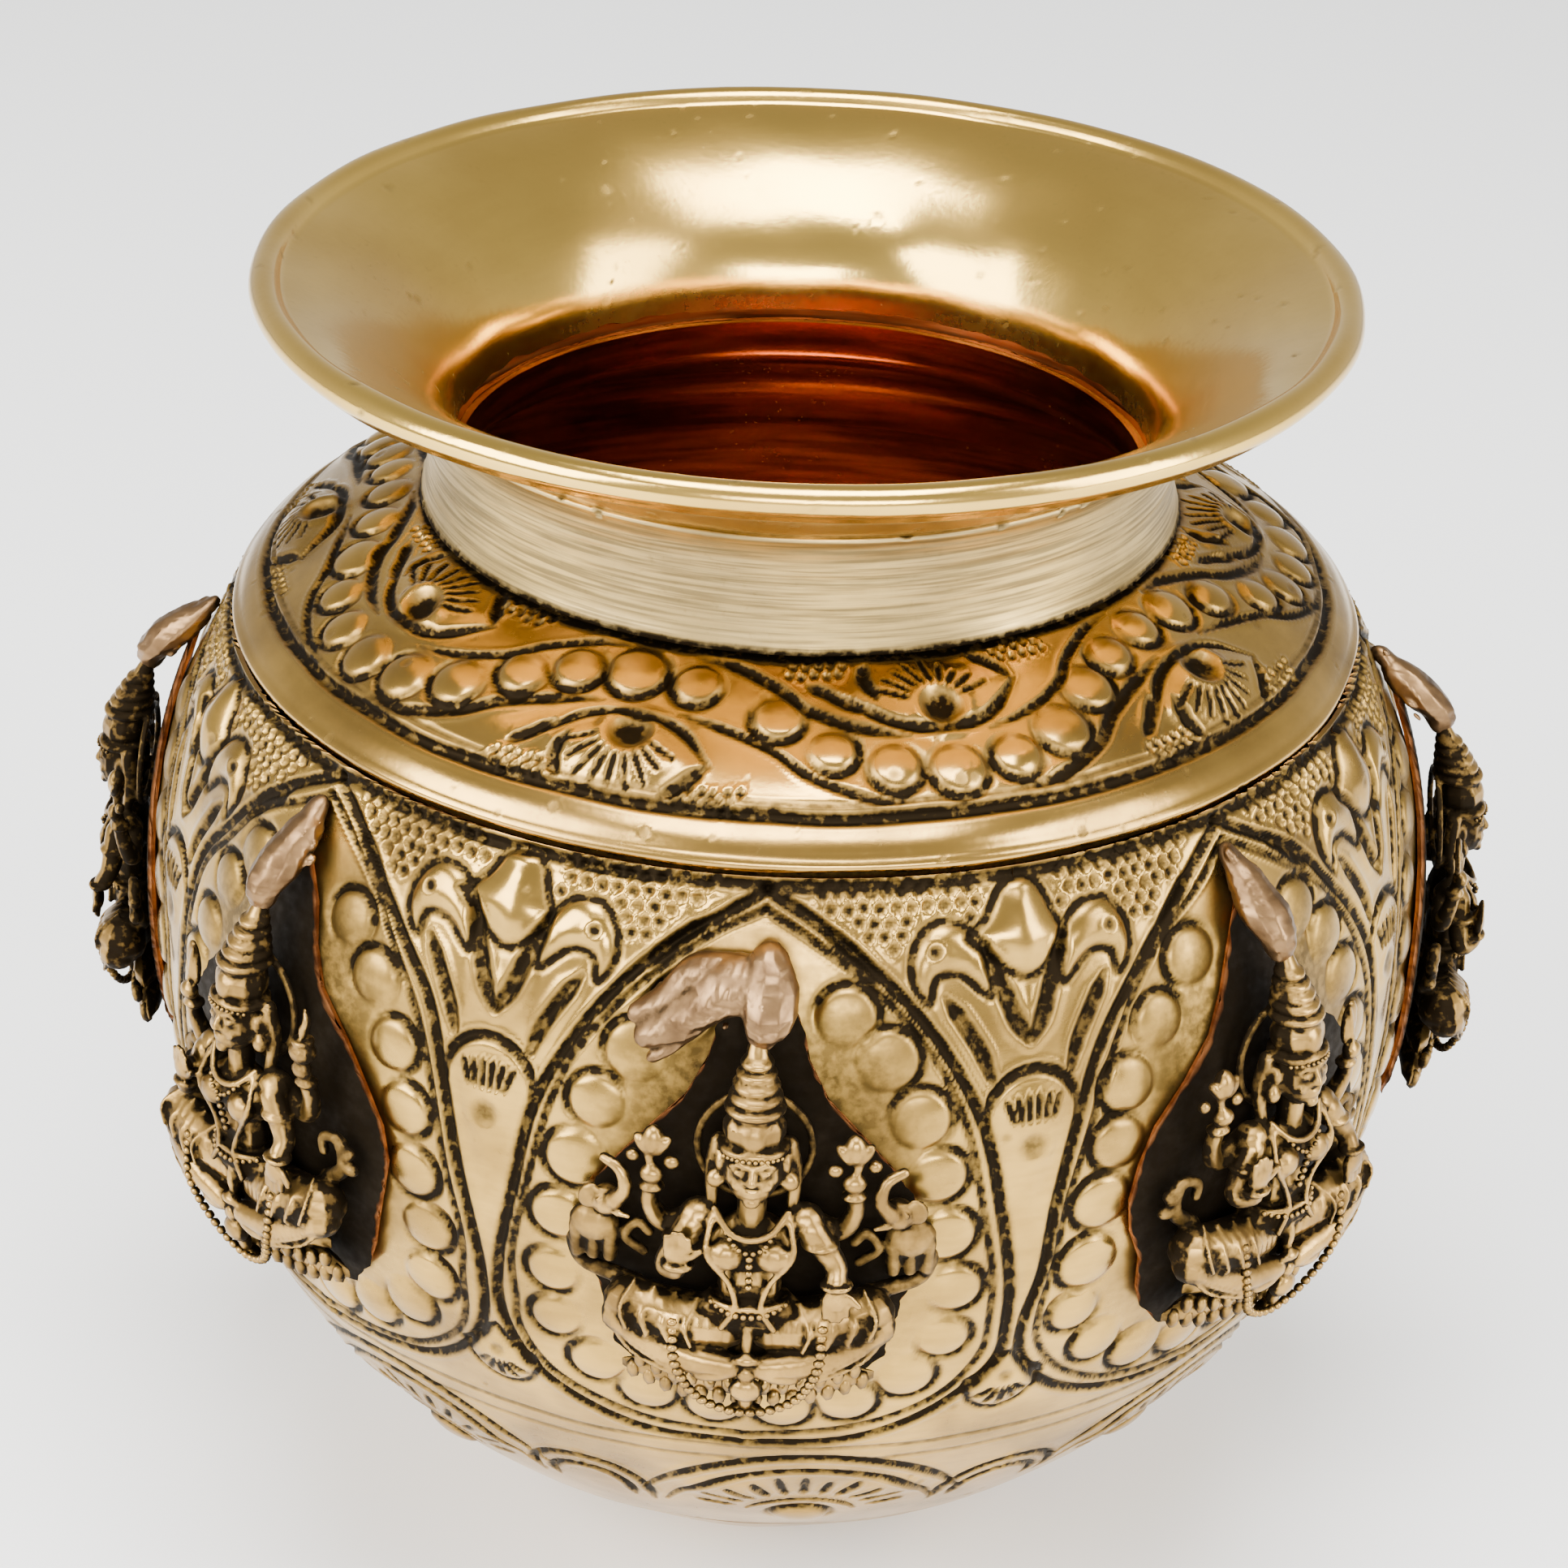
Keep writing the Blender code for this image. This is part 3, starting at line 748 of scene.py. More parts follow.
collar_points, collar_normals = collar.worked()
bore_z = np.linspace(COLLAR_Z, COLLAR_TOP, 7)
bore_az = collar.az[::COARSE, None]
bore_r = COLLAR_BORE + 0.45 * np.clip((bore_z - 89) / 2.2, 0, 1)
bore = np.stack([bore_r * np.sin(bore_az), -bore_r * np.cos(bore_az), bore_z + 0 * bore_az], -1)
filed_brass = aged_brass(
    "filed collar brass", (0.58, 0.40, 0.135), (0.36, 0.26, 0.11), 0.3, patch=70.0,
    streaks=(110.0, 110.0, 3800.0), streak_mix=0.75, blacking=0.9
)
piece = sheet_piece(
    "neck_band", collar_points, collar_normals, np.clip(collar.soot, 0, 1), bore, all_round=True
)
finished(piece, filed_brass, "neck_collar")

# The mouth: a disc spun out to a wide trumpet and burnished bright. Its edge is rolled into a round
# bead, and its short spigot, left ragged by the shears, goes down inside the collar.
MOUTH_R, LIP_Z = mouth_high.x / MM, mouth_high.z / MM
LIP_R = 1.1
SPIGOT_R, SPIGOT_Z = 26.3, mouth_low.z / MM
lip = (MOUTH_R - LIP_R, LIP_Z - LIP_R)
rolled = [(lip[0] + LIP_R * math.cos(t), lip[1] + LIP_R * math.sin(t))
    for t in np.linspace(-1.35, math.pi - 0.75, 34)]
mouth_outline = Outline(
    np.vstack(
        [
            [(SPIGOT_R, SPIGOT_Z), (SPIGOT_R, SPIGOT_Z + 1.3)],
            bend((SPIGOT_R, SPIGOT_Z + 1.4), (SPIGOT_R, 90.55), (30.8, 95.0), (38.0, 97.2), 70),
            bend((38.0, 97.2), (38.5, 97.35), (38.7, 97.0), (39.0, 97.55), 8)[1:],
            rolled,
            bend((37.7, 99.0), (31.0, 96.9), (25.6, 91.4), (25.5, 87.4), 90),
            [(25.5, SPIGOT_Z + 0.9), (25.5, SPIGOT_Z + 0.3)],
        ]
    )
)
mouth_rows = np.linspace(0, mouth_outline.s[-1], 137)
mouth = ChasedSheet(mouth_outline, mouth_rows, 480)
mouth.hammer(13, 0.035)
dice = np.random.default_rng(6)
for _ in range(34):
    s = dice.choice([dice.uniform(3, 20), dice.uniform(20, 26), dice.uniform(27, 42)])
    mouth.pit(dice.uniform(0, TURN), s, dice.uniform(0.12, 0.22), dice.uniform(0.02, 0.06), 0.9)
mouth_points, mouth_normals = mouth.worked()
ragged = sum(dice.uniform(0.03, 0.16) * np.sin(n * mouth.az + dice.uniform(0, TURN))
    for n in (2, 5, 9, 14, 23, 31, 47))
torn = np.clip(1 - (mouth_points[..., 2] - SPIGOT_Z) / 1.2, 0, 1)
mouth_points[..., 2] += np.clip(ragged, -0.1, 1)[:, None] * torn
mouth_soot = np.clip(mouth.soot, 0, 1)
# Down the inside of the throat the metal is painted darker, as shade, and a little browner, as oxide, the
# deeper it goes.
inner_turn = mouth_rows > mouth_outline.s[-1] * 0.5
throat_shade_and_oxide = np.clip((89.3 - mouth_points[..., 2]) / 2.0, 0, 1) * inner_turn
mouth_soot = np.maximum(mouth_soot, 0.28 * throat_shade_and_oxide)
mouth_soot = np.maximum(
    mouth_soot, 0.8 * np.exp(-(((mouth_points[..., 2] - COLLAR_TOP - 0.15) / 0.22) ** 2)) * ~inner_turn
)


def turned_ring(name, points, normals, soot, inside):
    """A closed ring from rows of points that go once round its section."""
    columns, rows = points.shape[:2]
    index = np.arange(columns * rows).reshape(columns, rows)
    index = np.vstack([index, index[:1]])
    index = np.hstack([index, index[:, :1]])
    return solid(
        name, points.reshape(-1, 3), quads(index), normals.reshape(-1, 3), soot=soot.ravel(),
        inside=inside.ravel()
    )


spun_brass = aged_brass(
    "burnished mouth brass", (0.82, 0.53, 0.12), (0.62, 0.385, 0.085), 0.13, patch=45.0,
    streaks=(160.0, 160.0, 1100.0), streak_mix=0.05, blacking=0.8
)
piece = turned_ring("mouth_trumpet", mouth_points, mouth_normals, mouth_soot, 0.12 * throat_shade_and_oxide)
finished(piece, spun_brass, "mouth_flare")

# The backing plates: thin strips of brass cut a little wider than each figure, bent to the belly and left black
# from the dip;
# their near-black also stands in for the shade behind each figure, as painted shade. The casting is soldered
# down over them.
FIGURE_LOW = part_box("deity_figure_1")[0].z / MM
FIGURE_TALL = (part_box("deity_figure_1")[1].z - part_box("deity_figure_1")[0].z) / MM
PLATE_BACK, PLATE_FRONT = 0.35, 0.92
plate_heights = (-1.0, 0.0, 3.0, 8.0, 12.0, 16.0, 20.0, 23.0, 25.0, 28.0, 31.0, 32.5)
plate_half_widths = (3.8, 7.0, 9.2, 10.2, 11.4, 11.0, 8.6, 5.6, 4.2, 3.2, 2.2, 0.5)
plate_black_and_shade = aged_brass(
    "black plate with painted shade", (0.020, 0.015, 0.010), (0.008, 0.006, 0.005), 0.45, patch=300.0,
    streaks=(500.0, 500.0, 900.0), streak_mix=0.3
)
for k in range(BAYS):
    dice = np.random.default_rng(500 + k)
    rows = np.linspace(plate_heights[0], plate_heights[-1], 97)
    half = np.interp(rows, plate_heights, plate_half_widths)
    half = half + sum(dice.uniform(0.03, 0.12) * np.sin(f * rows + dice.uniform(0, TURN))
        for f in (0.9, 1.7, 3.1, 5.3))
    across = np.linspace(-1, 1, 33)[:, None] * np.maximum(half, 0.3)
    z = FIGURE_LOW + rows * FIGURE_TALL / 30.9 + 0 * across
    az = k * BAY + across / BELLY_R
    grain = 0.03 * np.sin(5.1 * across + 3.3 * rows) * np.sin(2.3 * across - 4.7 * rows)

    def lying(out, az=az, z=z):
        r = belly_outline.r(up(z)) + out
        return np.stack([r * np.sin(az), -r * np.cos(az), z], -1)

    front, back = lying(PLATE_FRONT + grain), lying(PLATE_BACK)[::COARSE, ::COARSE]
    facing = np.stack([np.sin(az), -np.cos(az), 0 * az], -1)
    piece = sheet_piece(f"plate_{k + 1}", front, facing, 0.6 + 0 * az, back)
    finished(piece, plate_black_and_shade, f"backing_plate_{k + 1}")

# The eight seated figures: small solid castings with four arms, a tall ringed crown and a lotus
# seat. Each is dipped black and rubbed bright on what stands out, then soldered on at the crown.
GRAIN = 0.15  # finest detail the casting sand takes
SMOOTHINGS = 12
ball_turn, ball_rise = np.meshgrid(np.arange(10) * TURN / 10, np.linspace(0, math.pi, 8))
BALL = np.stack(
    [np.sin(ball_rise) * np.cos(ball_turn), np.cos(ball_rise), np.sin(ball_rise) * np.sin(ball_turn)], -1
)
ball_index = np.hstack([np.arange(80).reshape(8, 10), np.arange(80).reshape(8, 10)[:, :1]])
ball_index[0], ball_index[-1] = 0, 79
BALL_FACES = quads(ball_index)


class Wax:
    """The wax model of one figure, built up from balls: across, up, and out from the belly."""

    def __init__(self):
        self.balls = []

    def ball(self, place, radii, lean=0.0):
        radii = np.ones(3) * radii
        shape = BALL.reshape(-1, 3) * radii
        c, s = math.cos(lean), math.sin(lean)
        turned = np.stack(
            [c * shape[:, 0] - s * shape[:, 1], s * shape[:, 0] + c * shape[:, 1], shape[:, 2]], -1
        )
        self.balls.append(turned + np.array(place, float))

    def roll(self, path, radii):
        """A tapering roll of wax along a path."""
        radii = np.ones(len(path)) * radii
        line = flowing(path, 0.2)
        length = np.concatenate([[0], np.cumsum(np.linalg.norm(np.diff(line, axis=0), axis=1))])
        far = 0.0
        while far <= length[-1]:
            radius = np.interp(far, np.linspace(0, length[-1], len(radii)), radii)
            self.ball([np.interp(far, length, line[:, k]) for k in range(3)], radius)
            far += max(0.34 * radius, 0.1)

    def hoop(self, middle, across, deep, thick, face="up"):
        """A ring of wax lying level, or facing outwards."""
        for t in np.arange(0, TURN, 0.6 * thick / max(across, deep)):
            a, b = across * math.cos(t), deep * math.sin(t)
            shift = (a, 0, b) if face == "up" else (a, b, 0)
            self.ball(np.add(middle, shift), thick)

    def cast(self, name):
        """The balls as one closed skin, in millimetres."""
        points = np.concatenate(self.balls)
        faces = np.concatenate([BALL_FACES + 80 * i for i in range(len(self.balls))])
        made = solid(name, points / MM, faces)
        flow = made.modifiers.new("flow", "REMESH")
        flow.mode, flow.voxel_size = "VOXEL", GRAIN
        trim = made.modifiers.new("trim", "DECIMATE")
        trim.ratio = 0.43
        done = bpy.data.meshes.new_from_object(made.evaluated_get(bpy.context.evaluated_depsgraph_get()))
        bpy.data.objects.remove(made)
        done.calc_loop_triangles()
        points, faces = np.zeros(len(done.vertices) * 3), np.zeros(len(done.loop_triangles) * 3, np.int32)
        done.vertices.foreach_get("co", points)
        done.loop_triangles.foreach_get("vertices", faces)
        return points.reshape(-1, 3), faces.reshape(-1, 3)


def hollows(points, faces):
    """How far each point lies below the smoothed skin round it."""
    ends = np.concatenate([faces[:, [0, 1]], faces[:, [1, 2]], faces[:, [2, 0]]])
    count = np.maximum(np.bincount(ends[:, 0], minlength=len(points)), 1)
    smooth = points.copy()
    for _ in range(SMOOTHINGS):
        smooth = np.stack(
            [np.bincount(ends[:, 0], smooth[ends[:, 1], k], len(points)) / count for k in range(3)], -1
        )
    normal = np.zeros_like(points)
    face_normal = np.cross(
        points[faces[:, 1]] - points[faces[:, 0]], points[faces[:, 2]] - points[faces[:, 0]]
    )
    for k in range(3):
        np.add.at(normal, faces[:, k], face_normal)
    normal /= np.linalg.norm(normal, axis=1, keepdims=True) + 1e-9
    return ((smooth - points) * normal).sum(1)


def onto_belly(points, k):
    """Bends flat work (across, up, out) round the belly under arch k."""
    z = FIGURE_LOW + points[:, 1] * FIGURE_TALL / 30.9
    r = 0.35 * BELLY_R + 0.65 * belly_outline.r(up(z))
    az = k * BAY + points[:, 0] / BELLY_R
    out = np.minimum(points[:, 2], 5.85)
    return np.stack([(r + out) * np.sin(az), -(r + out) * np.cos(az), z], -1)


def facing_the_light(points, faces):
    """How squarely each point faces out and a little upwards, towards the light, up to 1."""
    corners = points[faces]
    leaning = np.cross(corners[:, 1] - corners[:, 0], corners[:, 2] - corners[:, 0])
    total = np.zeros_like(points)
    for corner in faces.T:
        np.add.at(total, corner, leaning)
    return total @ (0.0, 0.29, 0.957) / np.maximum(np.linalg.norm(total, axis=1), 1e-12)


# Beads and petals are laid along a line by one set of Geometry Nodes, each a small squashed ball.
stringing = bpy.data.node_groups.new("stringing", "GeometryNodeTree")
for socket_name, kind in (
    ("Line", "Geometry"), ("Spacing", "Float"), ("Size", "Vector"), ("Metal", "Material")
):
    stringing.interface.new_socket(socket_name, in_out="INPUT", socket_type="NodeSocket" + kind)
stringing.interface.new_socket("Strung", in_out="OUTPUT", socket_type="NodeSocketGeometry")
given = stringing.nodes.new("NodeGroupInput")
kept = stringing.nodes.new("NodeGroupOutput")
curve, evened = stringing.nodes.new("GeometryNodeMeshToCurve"), stringing.nodes.new("GeometryNodeResampleCurve")
evened.mode = "LENGTH"
bead = stringing.nodes.new("GeometryNodeMeshUVSphere")
cornered = stringing.nodes.new("GeometryNodeTriangulate")
bead.inputs["Segments"].default_value = 7
bead.inputs["Rings"].default_value = 4
bead.inputs["Radius"].default_value = 1.0
placed = stringing.nodes.new("GeometryNodeInstanceOnPoints")
real = stringing.nodes.new("GeometryNodeRealizeInstances")
coated = stringing.nodes.new("GeometryNodeSetMaterial")
for source, target in (
    (given.outputs["Line"], curve.inputs["Mesh"]),
    (curve.outputs["Curve"], evened.inputs["Curve"]),
    (given.outputs["Spacing"], evened.inputs["Length"]),
    (evened.outputs["Curve"], placed.inputs["Points"]),
    (bead.outputs["Mesh"], cornered.inputs["Mesh"]),
    (cornered.outputs["Mesh"], placed.inputs["Instance"]),
    (given.outputs["Size"], placed.inputs["Scale"]),
    (placed.outputs["Instances"], real.inputs["Geometry"]),
    (real.outputs["Geometry"], coated.inputs["Geometry"]),
    (given.outputs["Metal"], coated.inputs["Material"]),
    (coated.outputs["Geometry"], kept.inputs["Strung"]),
):
    stringing.links.new(source, target)
socket_ids = {item.name: item.identifier for item in stringing.interface.items_tree if item.in_out == "INPUT"}


def strung(path, spacing, size, metal):
    """Points and faces of beads set along a path (across, up, out), all in millimetres."""
    line = bpy.data.meshes.new("line")
    points = flowing(path, 0.25)
    line.from_pydata([tuple(p) for p in points], [(i, i + 1) for i in range(len(points) - 1)], [])
    holder = bpy.data.objects.new("line", line)
    bpy.context.scene.collection.objects.link(holder)
    string = holder.modifiers.new("stringing", "NODES")
    string.node_group = stringing
    string[socket_ids["Spacing"]], string[socket_ids["Size"]] = float(spacing), tuple(float(v) for v in size)
    string[socket_ids["Metal"]] = metal
    made = bpy.data.meshes.new_from_object(holder.evaluated_get(bpy.context.evaluated_depsgraph_get()))
    bpy.data.objects.remove(holder)
    co, faces = np.zeros(len(made.vertices) * 3), np.zeros(len(made.polygons) * 3, np.int32)
    made.vertices.foreach_get("co", co)
    made.polygons.foreach_get("vertices", faces)
    return co.reshape(-1, 3), faces.reshape(-1, 3)


def face(wax, tip):
    """A calm, even face: closed lids, a straight nose, a small mouth."""
    x, y = tip
    wax.ball((x, y, 3.7), (1.95, 2.5, 1.75))
    wax.ball((x, y - 1.1, 4.15), (1.35, 1.35, 1.25))
    for side in (-1, 1):
        wax.roll(
            [
                (x + side * 0.25, y + 0.75, 5.25), (x + side * 0.85, y + 0.95, 5.2),
                (x + side * 1.4, y + 0.65, 4.9)
            ],
            0.15
        )
        wax.ball((x + side * 0.75, y + 0.3, 5.05), (0.46, 0.2, 0.32))
        wax.ball((x + side * 0.85, y - 0.7, 4.85), (0.5, 0.5, 0.4))
        wax.ball((x + side * 2.0, y + 0.1, 3.3), (0.45, 0.9, 0.7))
        wax.ball((x + side * 2.3, y - 1.2, 3.6), (0.62, 0.72, 0.5))
        wax.roll(
            [
                (x + side * 2.2, y + 1.2, 2.9), (x + side * 2.6, y - 1.2, 2.6),
                (x + side * 2.5, y - 3.6, 2.9)
            ],
            [0.6, 0.55, 0.4]
        )
    wax.roll([(x, y + 0.75, 5.2), (x, y - 0.3, 5.6)], [0.16, 0.26])
    wax.ball((x, y - 0.35, 5.5), (0.4, 0.2, 0.3))
    wax.ball((x, y - 1.05, 5.2), (0.58, 0.13, 0.3))
    wax.ball((x, y - 1.4, 5.15), (0.45, 0.15, 0.3))
    wax.ball((x, y - 2.05, 4.95), (0.55, 0.42, 0.42))
    wax.hoop((x, y + 1.55, 3.55), 2.0, 1.75, 0.26)
    wax.ball((x, y + 2.8, 3.5), (2.05, 1.75, 1.8))
    wax.ball((x, y + 2.7, 5.0), (0.8, 0.95, 0.4))
    wax.roll([(x, y + 3.6, 3.5), (x, y + 8.6, 2.5)], [1.65, 0.55])
    for step, (height, wide) in enumerate(((4.3, 1.72), (5.0, 1.5), (5.7, 1.3), (6.4, 1.08), (7.1, 0.85))):
        wax.hoop((x, y + height, 3.4 - 0.12 * step), wide, wide, 0.27)
    wax.hoop((x, y + 0.3, 1.8), 3.7, 3.9, 0.27, face="out")


def hand(wax, wrist, reach, lean):
    """An open palm with its fingers together and a bangle at the wrist."""
    x, y, w = wrist
    c, s = math.cos(lean), math.sin(lean)
    wax.ball((x + 0.9 * reach * s, y + 0.9 * reach * c, w + 0.15), (0.95, 1.05, 0.48))
    for finger, long in ((-0.66, 1.9), (-0.22, 2.25), (0.22, 2.2), (0.66, 1.8)):
        start = (x + finger + 1.3 * reach * s, y + 1.3 * reach * c, w + 0.25)
        wax.roll(
            [start, (start[0] + 0.5 * reach * s, y + long * reach * c + reach * 0.3, w + 0.3)],
            [0.27, 0.22]
        )
    wax.roll([(x + 0.8, y + 0.6 * reach, w + 0.2), (x + 1.35, y + 1.3 * reach, w + 0.35)], 0.25)
    wax.hoop((x, y - 0.25 * reach, w - 0.1), 0.85, 0.75, 0.2)


def held(wax, kind, side):
    """What an upper hand holds up beside the crown: a lotus bud, a small pot, a disc or a leaf."""
    x = side * 6.3
    if kind == "bud":
        wax.roll([(x, 20.2, 3.2), (x + side * 0.3, 21.4, 3.3)], 0.32)
        wax.ball((x, 22.5, 3.4), (0.75, 1.1, 0.7))
        for lean in (-0.6, 0.6):
            wax.ball((x + 0.62 * math.copysign(1, lean), 22.1, 3.4), (0.42, 0.95, 0.45), -lean)
        wax.ball((x - side * 1.2, 20.8, 3.2), (0.55, 0.5, 0.4))
        wax.ball((x + side * 1.3, 20.9, 3.0), (0.5, 0.45, 0.4))
    elif kind == "pot":
        wax.ball((x, 21.3, 3.4), (1.05, 0.85, 0.9))
        wax.hoop((x, 22.15, 3.4), 0.62, 0.62, 0.2)
        wax.ball((x, 22.7, 3.4), (0.35, 0.4, 0.35))
        wax.roll([(x, 23.0, 3.4), (x + 0.25, 23.7, 3.4), (x - 0.1, 24.5, 3.3)], [0.36, 0.3, 0.14])
    elif kind == "disc":
        wax.hoop((x, 21.9, 3.2), 1.15, 1.15, 0.26, face="out")
        wax.ball((x, 21.9, 3.2), (0.5, 0.5, 0.4))
        for t in np.arange(0, TURN, TURN / 6):
            wax.ball((x + 0.8 * math.cos(t), 21.9 + 0.8 * math.sin(t), 3.15), 0.22)
    else:
        wax.ball((x, 22.0, 3.1), (0.8, 1.7, 0.4), side * -0.25)
        wax.roll([(x, 20.4, 3.5), (x - side * 0.3, 23.4, 3.4)], 0.16)


def elephant(wax, side):
    """A small elephant with its trunk up, standing on a scroll beside the seat."""
    wax.ball((side * 10.3, 14.3, 1.9), (1.75, 1.55, 1.0))
    wax.ball((side * 9.3, 16.6, 2.3), (1.15, 1.15, 1.05))
    wax.ball((side * 10.4, 16.9, 2.7), (0.8, 1.05, 0.3), side * 0.3)
    wax.roll(
        [
            (side * 8.7, 17.0, 2.9), (side * 8.0, 18.3, 3.2), (side * 8.4, 19.7, 3.1),
            (side * 9.5, 20.2, 2.8)
        ],
        [0.62, 0.5, 0.42, 0.36]
    )
    wax.roll([(side * 8.5, 16.1, 3.0), (side * 7.6, 16.2, 3.4)], [0.28, 0.16])
    for x in (9.2, 10.3, 11.4):
        wax.roll([(side * x, 13.8, 2.0), (side * x, 11.6, 2.0)], [0.62, 0.48])
    wax.roll(
        [
            (side * 7.4, 9.8, 1.8), (side * 9.4, 10.2, 1.8), (side * 11.2, 10.8, 1.7),
            (side * 11.9, 12.3, 1.6), (side * 11.3, 13.2, 1.7)
        ],
        [0.5, 0.62, 0.55, 0.45, 0.4]
    )
    wax.roll(
        [
            (side * 7.0, 12.4, 1.8), (side * 8.2, 13.6, 2.0), (side * 7.4, 14.9, 2.0),
            (side * 6.6, 14.2, 2.0)
        ],
        0.36
    )
    wax.ball((side * 9.7, 17.0, 3.2), 0.2)


def scroll(wax, side):
    """A curling leaf scroll that fills the place beside the knee."""
    wax.roll(
        [
            (side * 6.8, 10.2, 1.7), (side * 8.6, 12.0, 1.9), (side * 8.3, 14.2, 2.0),
            (side * 7.0, 14.0, 2.1), (side * 7.1, 12.9, 2.2)
        ],
        [0.65, 0.6, 0.5, 0.42, 0.36]
    )
    for t in (0.0, 0.8, 1.6):
        wax.ball(
            (side * (8.6 + 0.7 * math.cos(t)), 12.2 + 1.6 * math.sin(t), 2.0), (0.75, 0.5, 0.5), side * t
        )


def figure_wax(held_left, held_right, companions, lean):
    wax = Wax()
    wax.ball((0, 2.4, 2.1), (8.7, 1.7, 1.15))
    wax.ball((0, 4.6, 2.2), (7.4, 1.7, 1.3))
    wax.ball((0, 9.2, 2.9), (3.6, 1.9, 1.9))
    wax.ball((0, 11.8, 3.1), (2.1, 2.5, 1.45))
    wax.ball((0, 15.0, 3.1), (3.0, 2.4, 1.65))
    wax.roll([(0, 17.0, 3.2), (lean * 0.5, 19.6, 3.3)], 0.98)
    wax.roll(
        [(-2.3, 17.9, 3.7), (-1.3, 16.7, 4.6), (0, 16.3, 4.9), (1.3, 16.7, 4.6), (2.3, 17.9, 3.7)], 0.27
    )
    wax.hoop((0, 10.4, 3.1), 2.4, 1.65, 0.3)
    for side in (-1, 1):
        wax.ball((side * 3.3, 16.9, 3.0), (1.3, 1.15, 1.2))
        wax.ball((side * 1.45, 14.7, 4.45), (1.15, 1.15, 0.9))
        wax.roll(
            [
                (side * 2.4, 17.3, 4.1), (side * 2.6, 15.0, 4.9), (side * 1.3, 12.6, 4.6),
                (side * 0.8, 10.6, 4.8), (side * 1.6, 8.8, 4.9)
            ],
            0.23
        )
        wax.roll(
            [(side * 1.7, 7.6, 2.7), (side * 5.2, 8.4, 3.3), (side * 7.8, 9.1, 3.2)], [1.9, 2.05, 1.85]
        )
        wax.roll(
            [(side * 7.9, 8.2, 3.7), (side * 4.4, 5.9, 4.3), (side * 1.0, 5.2, 4.5)], [1.45, 1.3, 0.95]
        )
        wax.ball((side * -2.0, 4.7, 4.9), (1.5, 0.62, 0.55), side * 0.2)
        for x, y in ((3.2, 8.2), (4.6, 8.5), (5.9, 8.8), (7.2, 9.2)):
            wax.roll(
                [
                    (side * x, y + 1.9, 3.4), (side * (x + 0.6), y + 0.6, 5.1),
                    (side * (x + 0.2), y - 1.0, 5.3)
                ],
                0.17
            )
        for y in (0.2, 0.9):
            wax.roll(
                [(side * 8.9, 9.2 - y, 4.3), (side * 7.2, 7.0 - y, 5.0), (side * 4.4, 5.2 - y * 0.6, 5.4)],
                0.15
            )
        wax.roll(
            [
                (side * 3.2, 16.6, 2.5), (side * 5.5, 15.4, 2.2), (side * 6.5, 17.2, 2.7),
                (side * 6.3, 19.4, 3.2)
            ],
            [0.95, 0.8, 0.62, 0.5]
        )
        wax.ball((side * 6.3, 19.9, 3.4), (0.8, 0.7, 0.62))
        wax.hoop((side * 6.35, 18.7, 3.0), 0.68, 0.6, 0.18)
        (elephant if companions else scroll)(wax, side)
    # The right hand is raised with its palm out, and the left is lowered and open.
    wax.roll(
        [(-3.7, 16.4, 3.5), (-5.2, 13.4, 3.9), (-4.5, 13.3, 4.8), (-4.35, 13.9, 5.0)],
        [1.0, 0.85, 0.7, 0.6]
    )
    hand(wax, (-4.3, 14.2, 5.0), 1, 0.0)
    wax.roll([(3.7, 16.4, 3.5), (5.2, 14.0, 4.0), (5.3, 12.9, 4.7)], [1.0, 0.85, 0.65])
    hand(wax, (5.3, 12.5, 4.9), -1, 0.0)
    for x in (-4.3, 4.3):
        wax.hoop((x, 15.4, 3.65), 1.05, 1.0, 0.2)
    # The fall of cloth between the knees is pleated into the shape of a small vase.
    for y, out, radii in (
        (0.8, 4.0, (1.15, 0.45, 0.7)), (1.9, 4.3, (0.55, 0.9, 0.5)), (3.3, 4.8, (1.1, 1.05, 0.75)),
        (4.8, 4.9, (0.55, 0.7, 0.5)), (6.1, 4.9, (0.8, 0.45, 0.55)), (7.6, 4.5, (0.42, 1.3, 0.5))
    ):
        wax.ball((0, y, out), radii)
    face(wax, (lean, 21.4))
    held(wax, held_left, -1)
    held(wax, held_right, 1)
    return wax


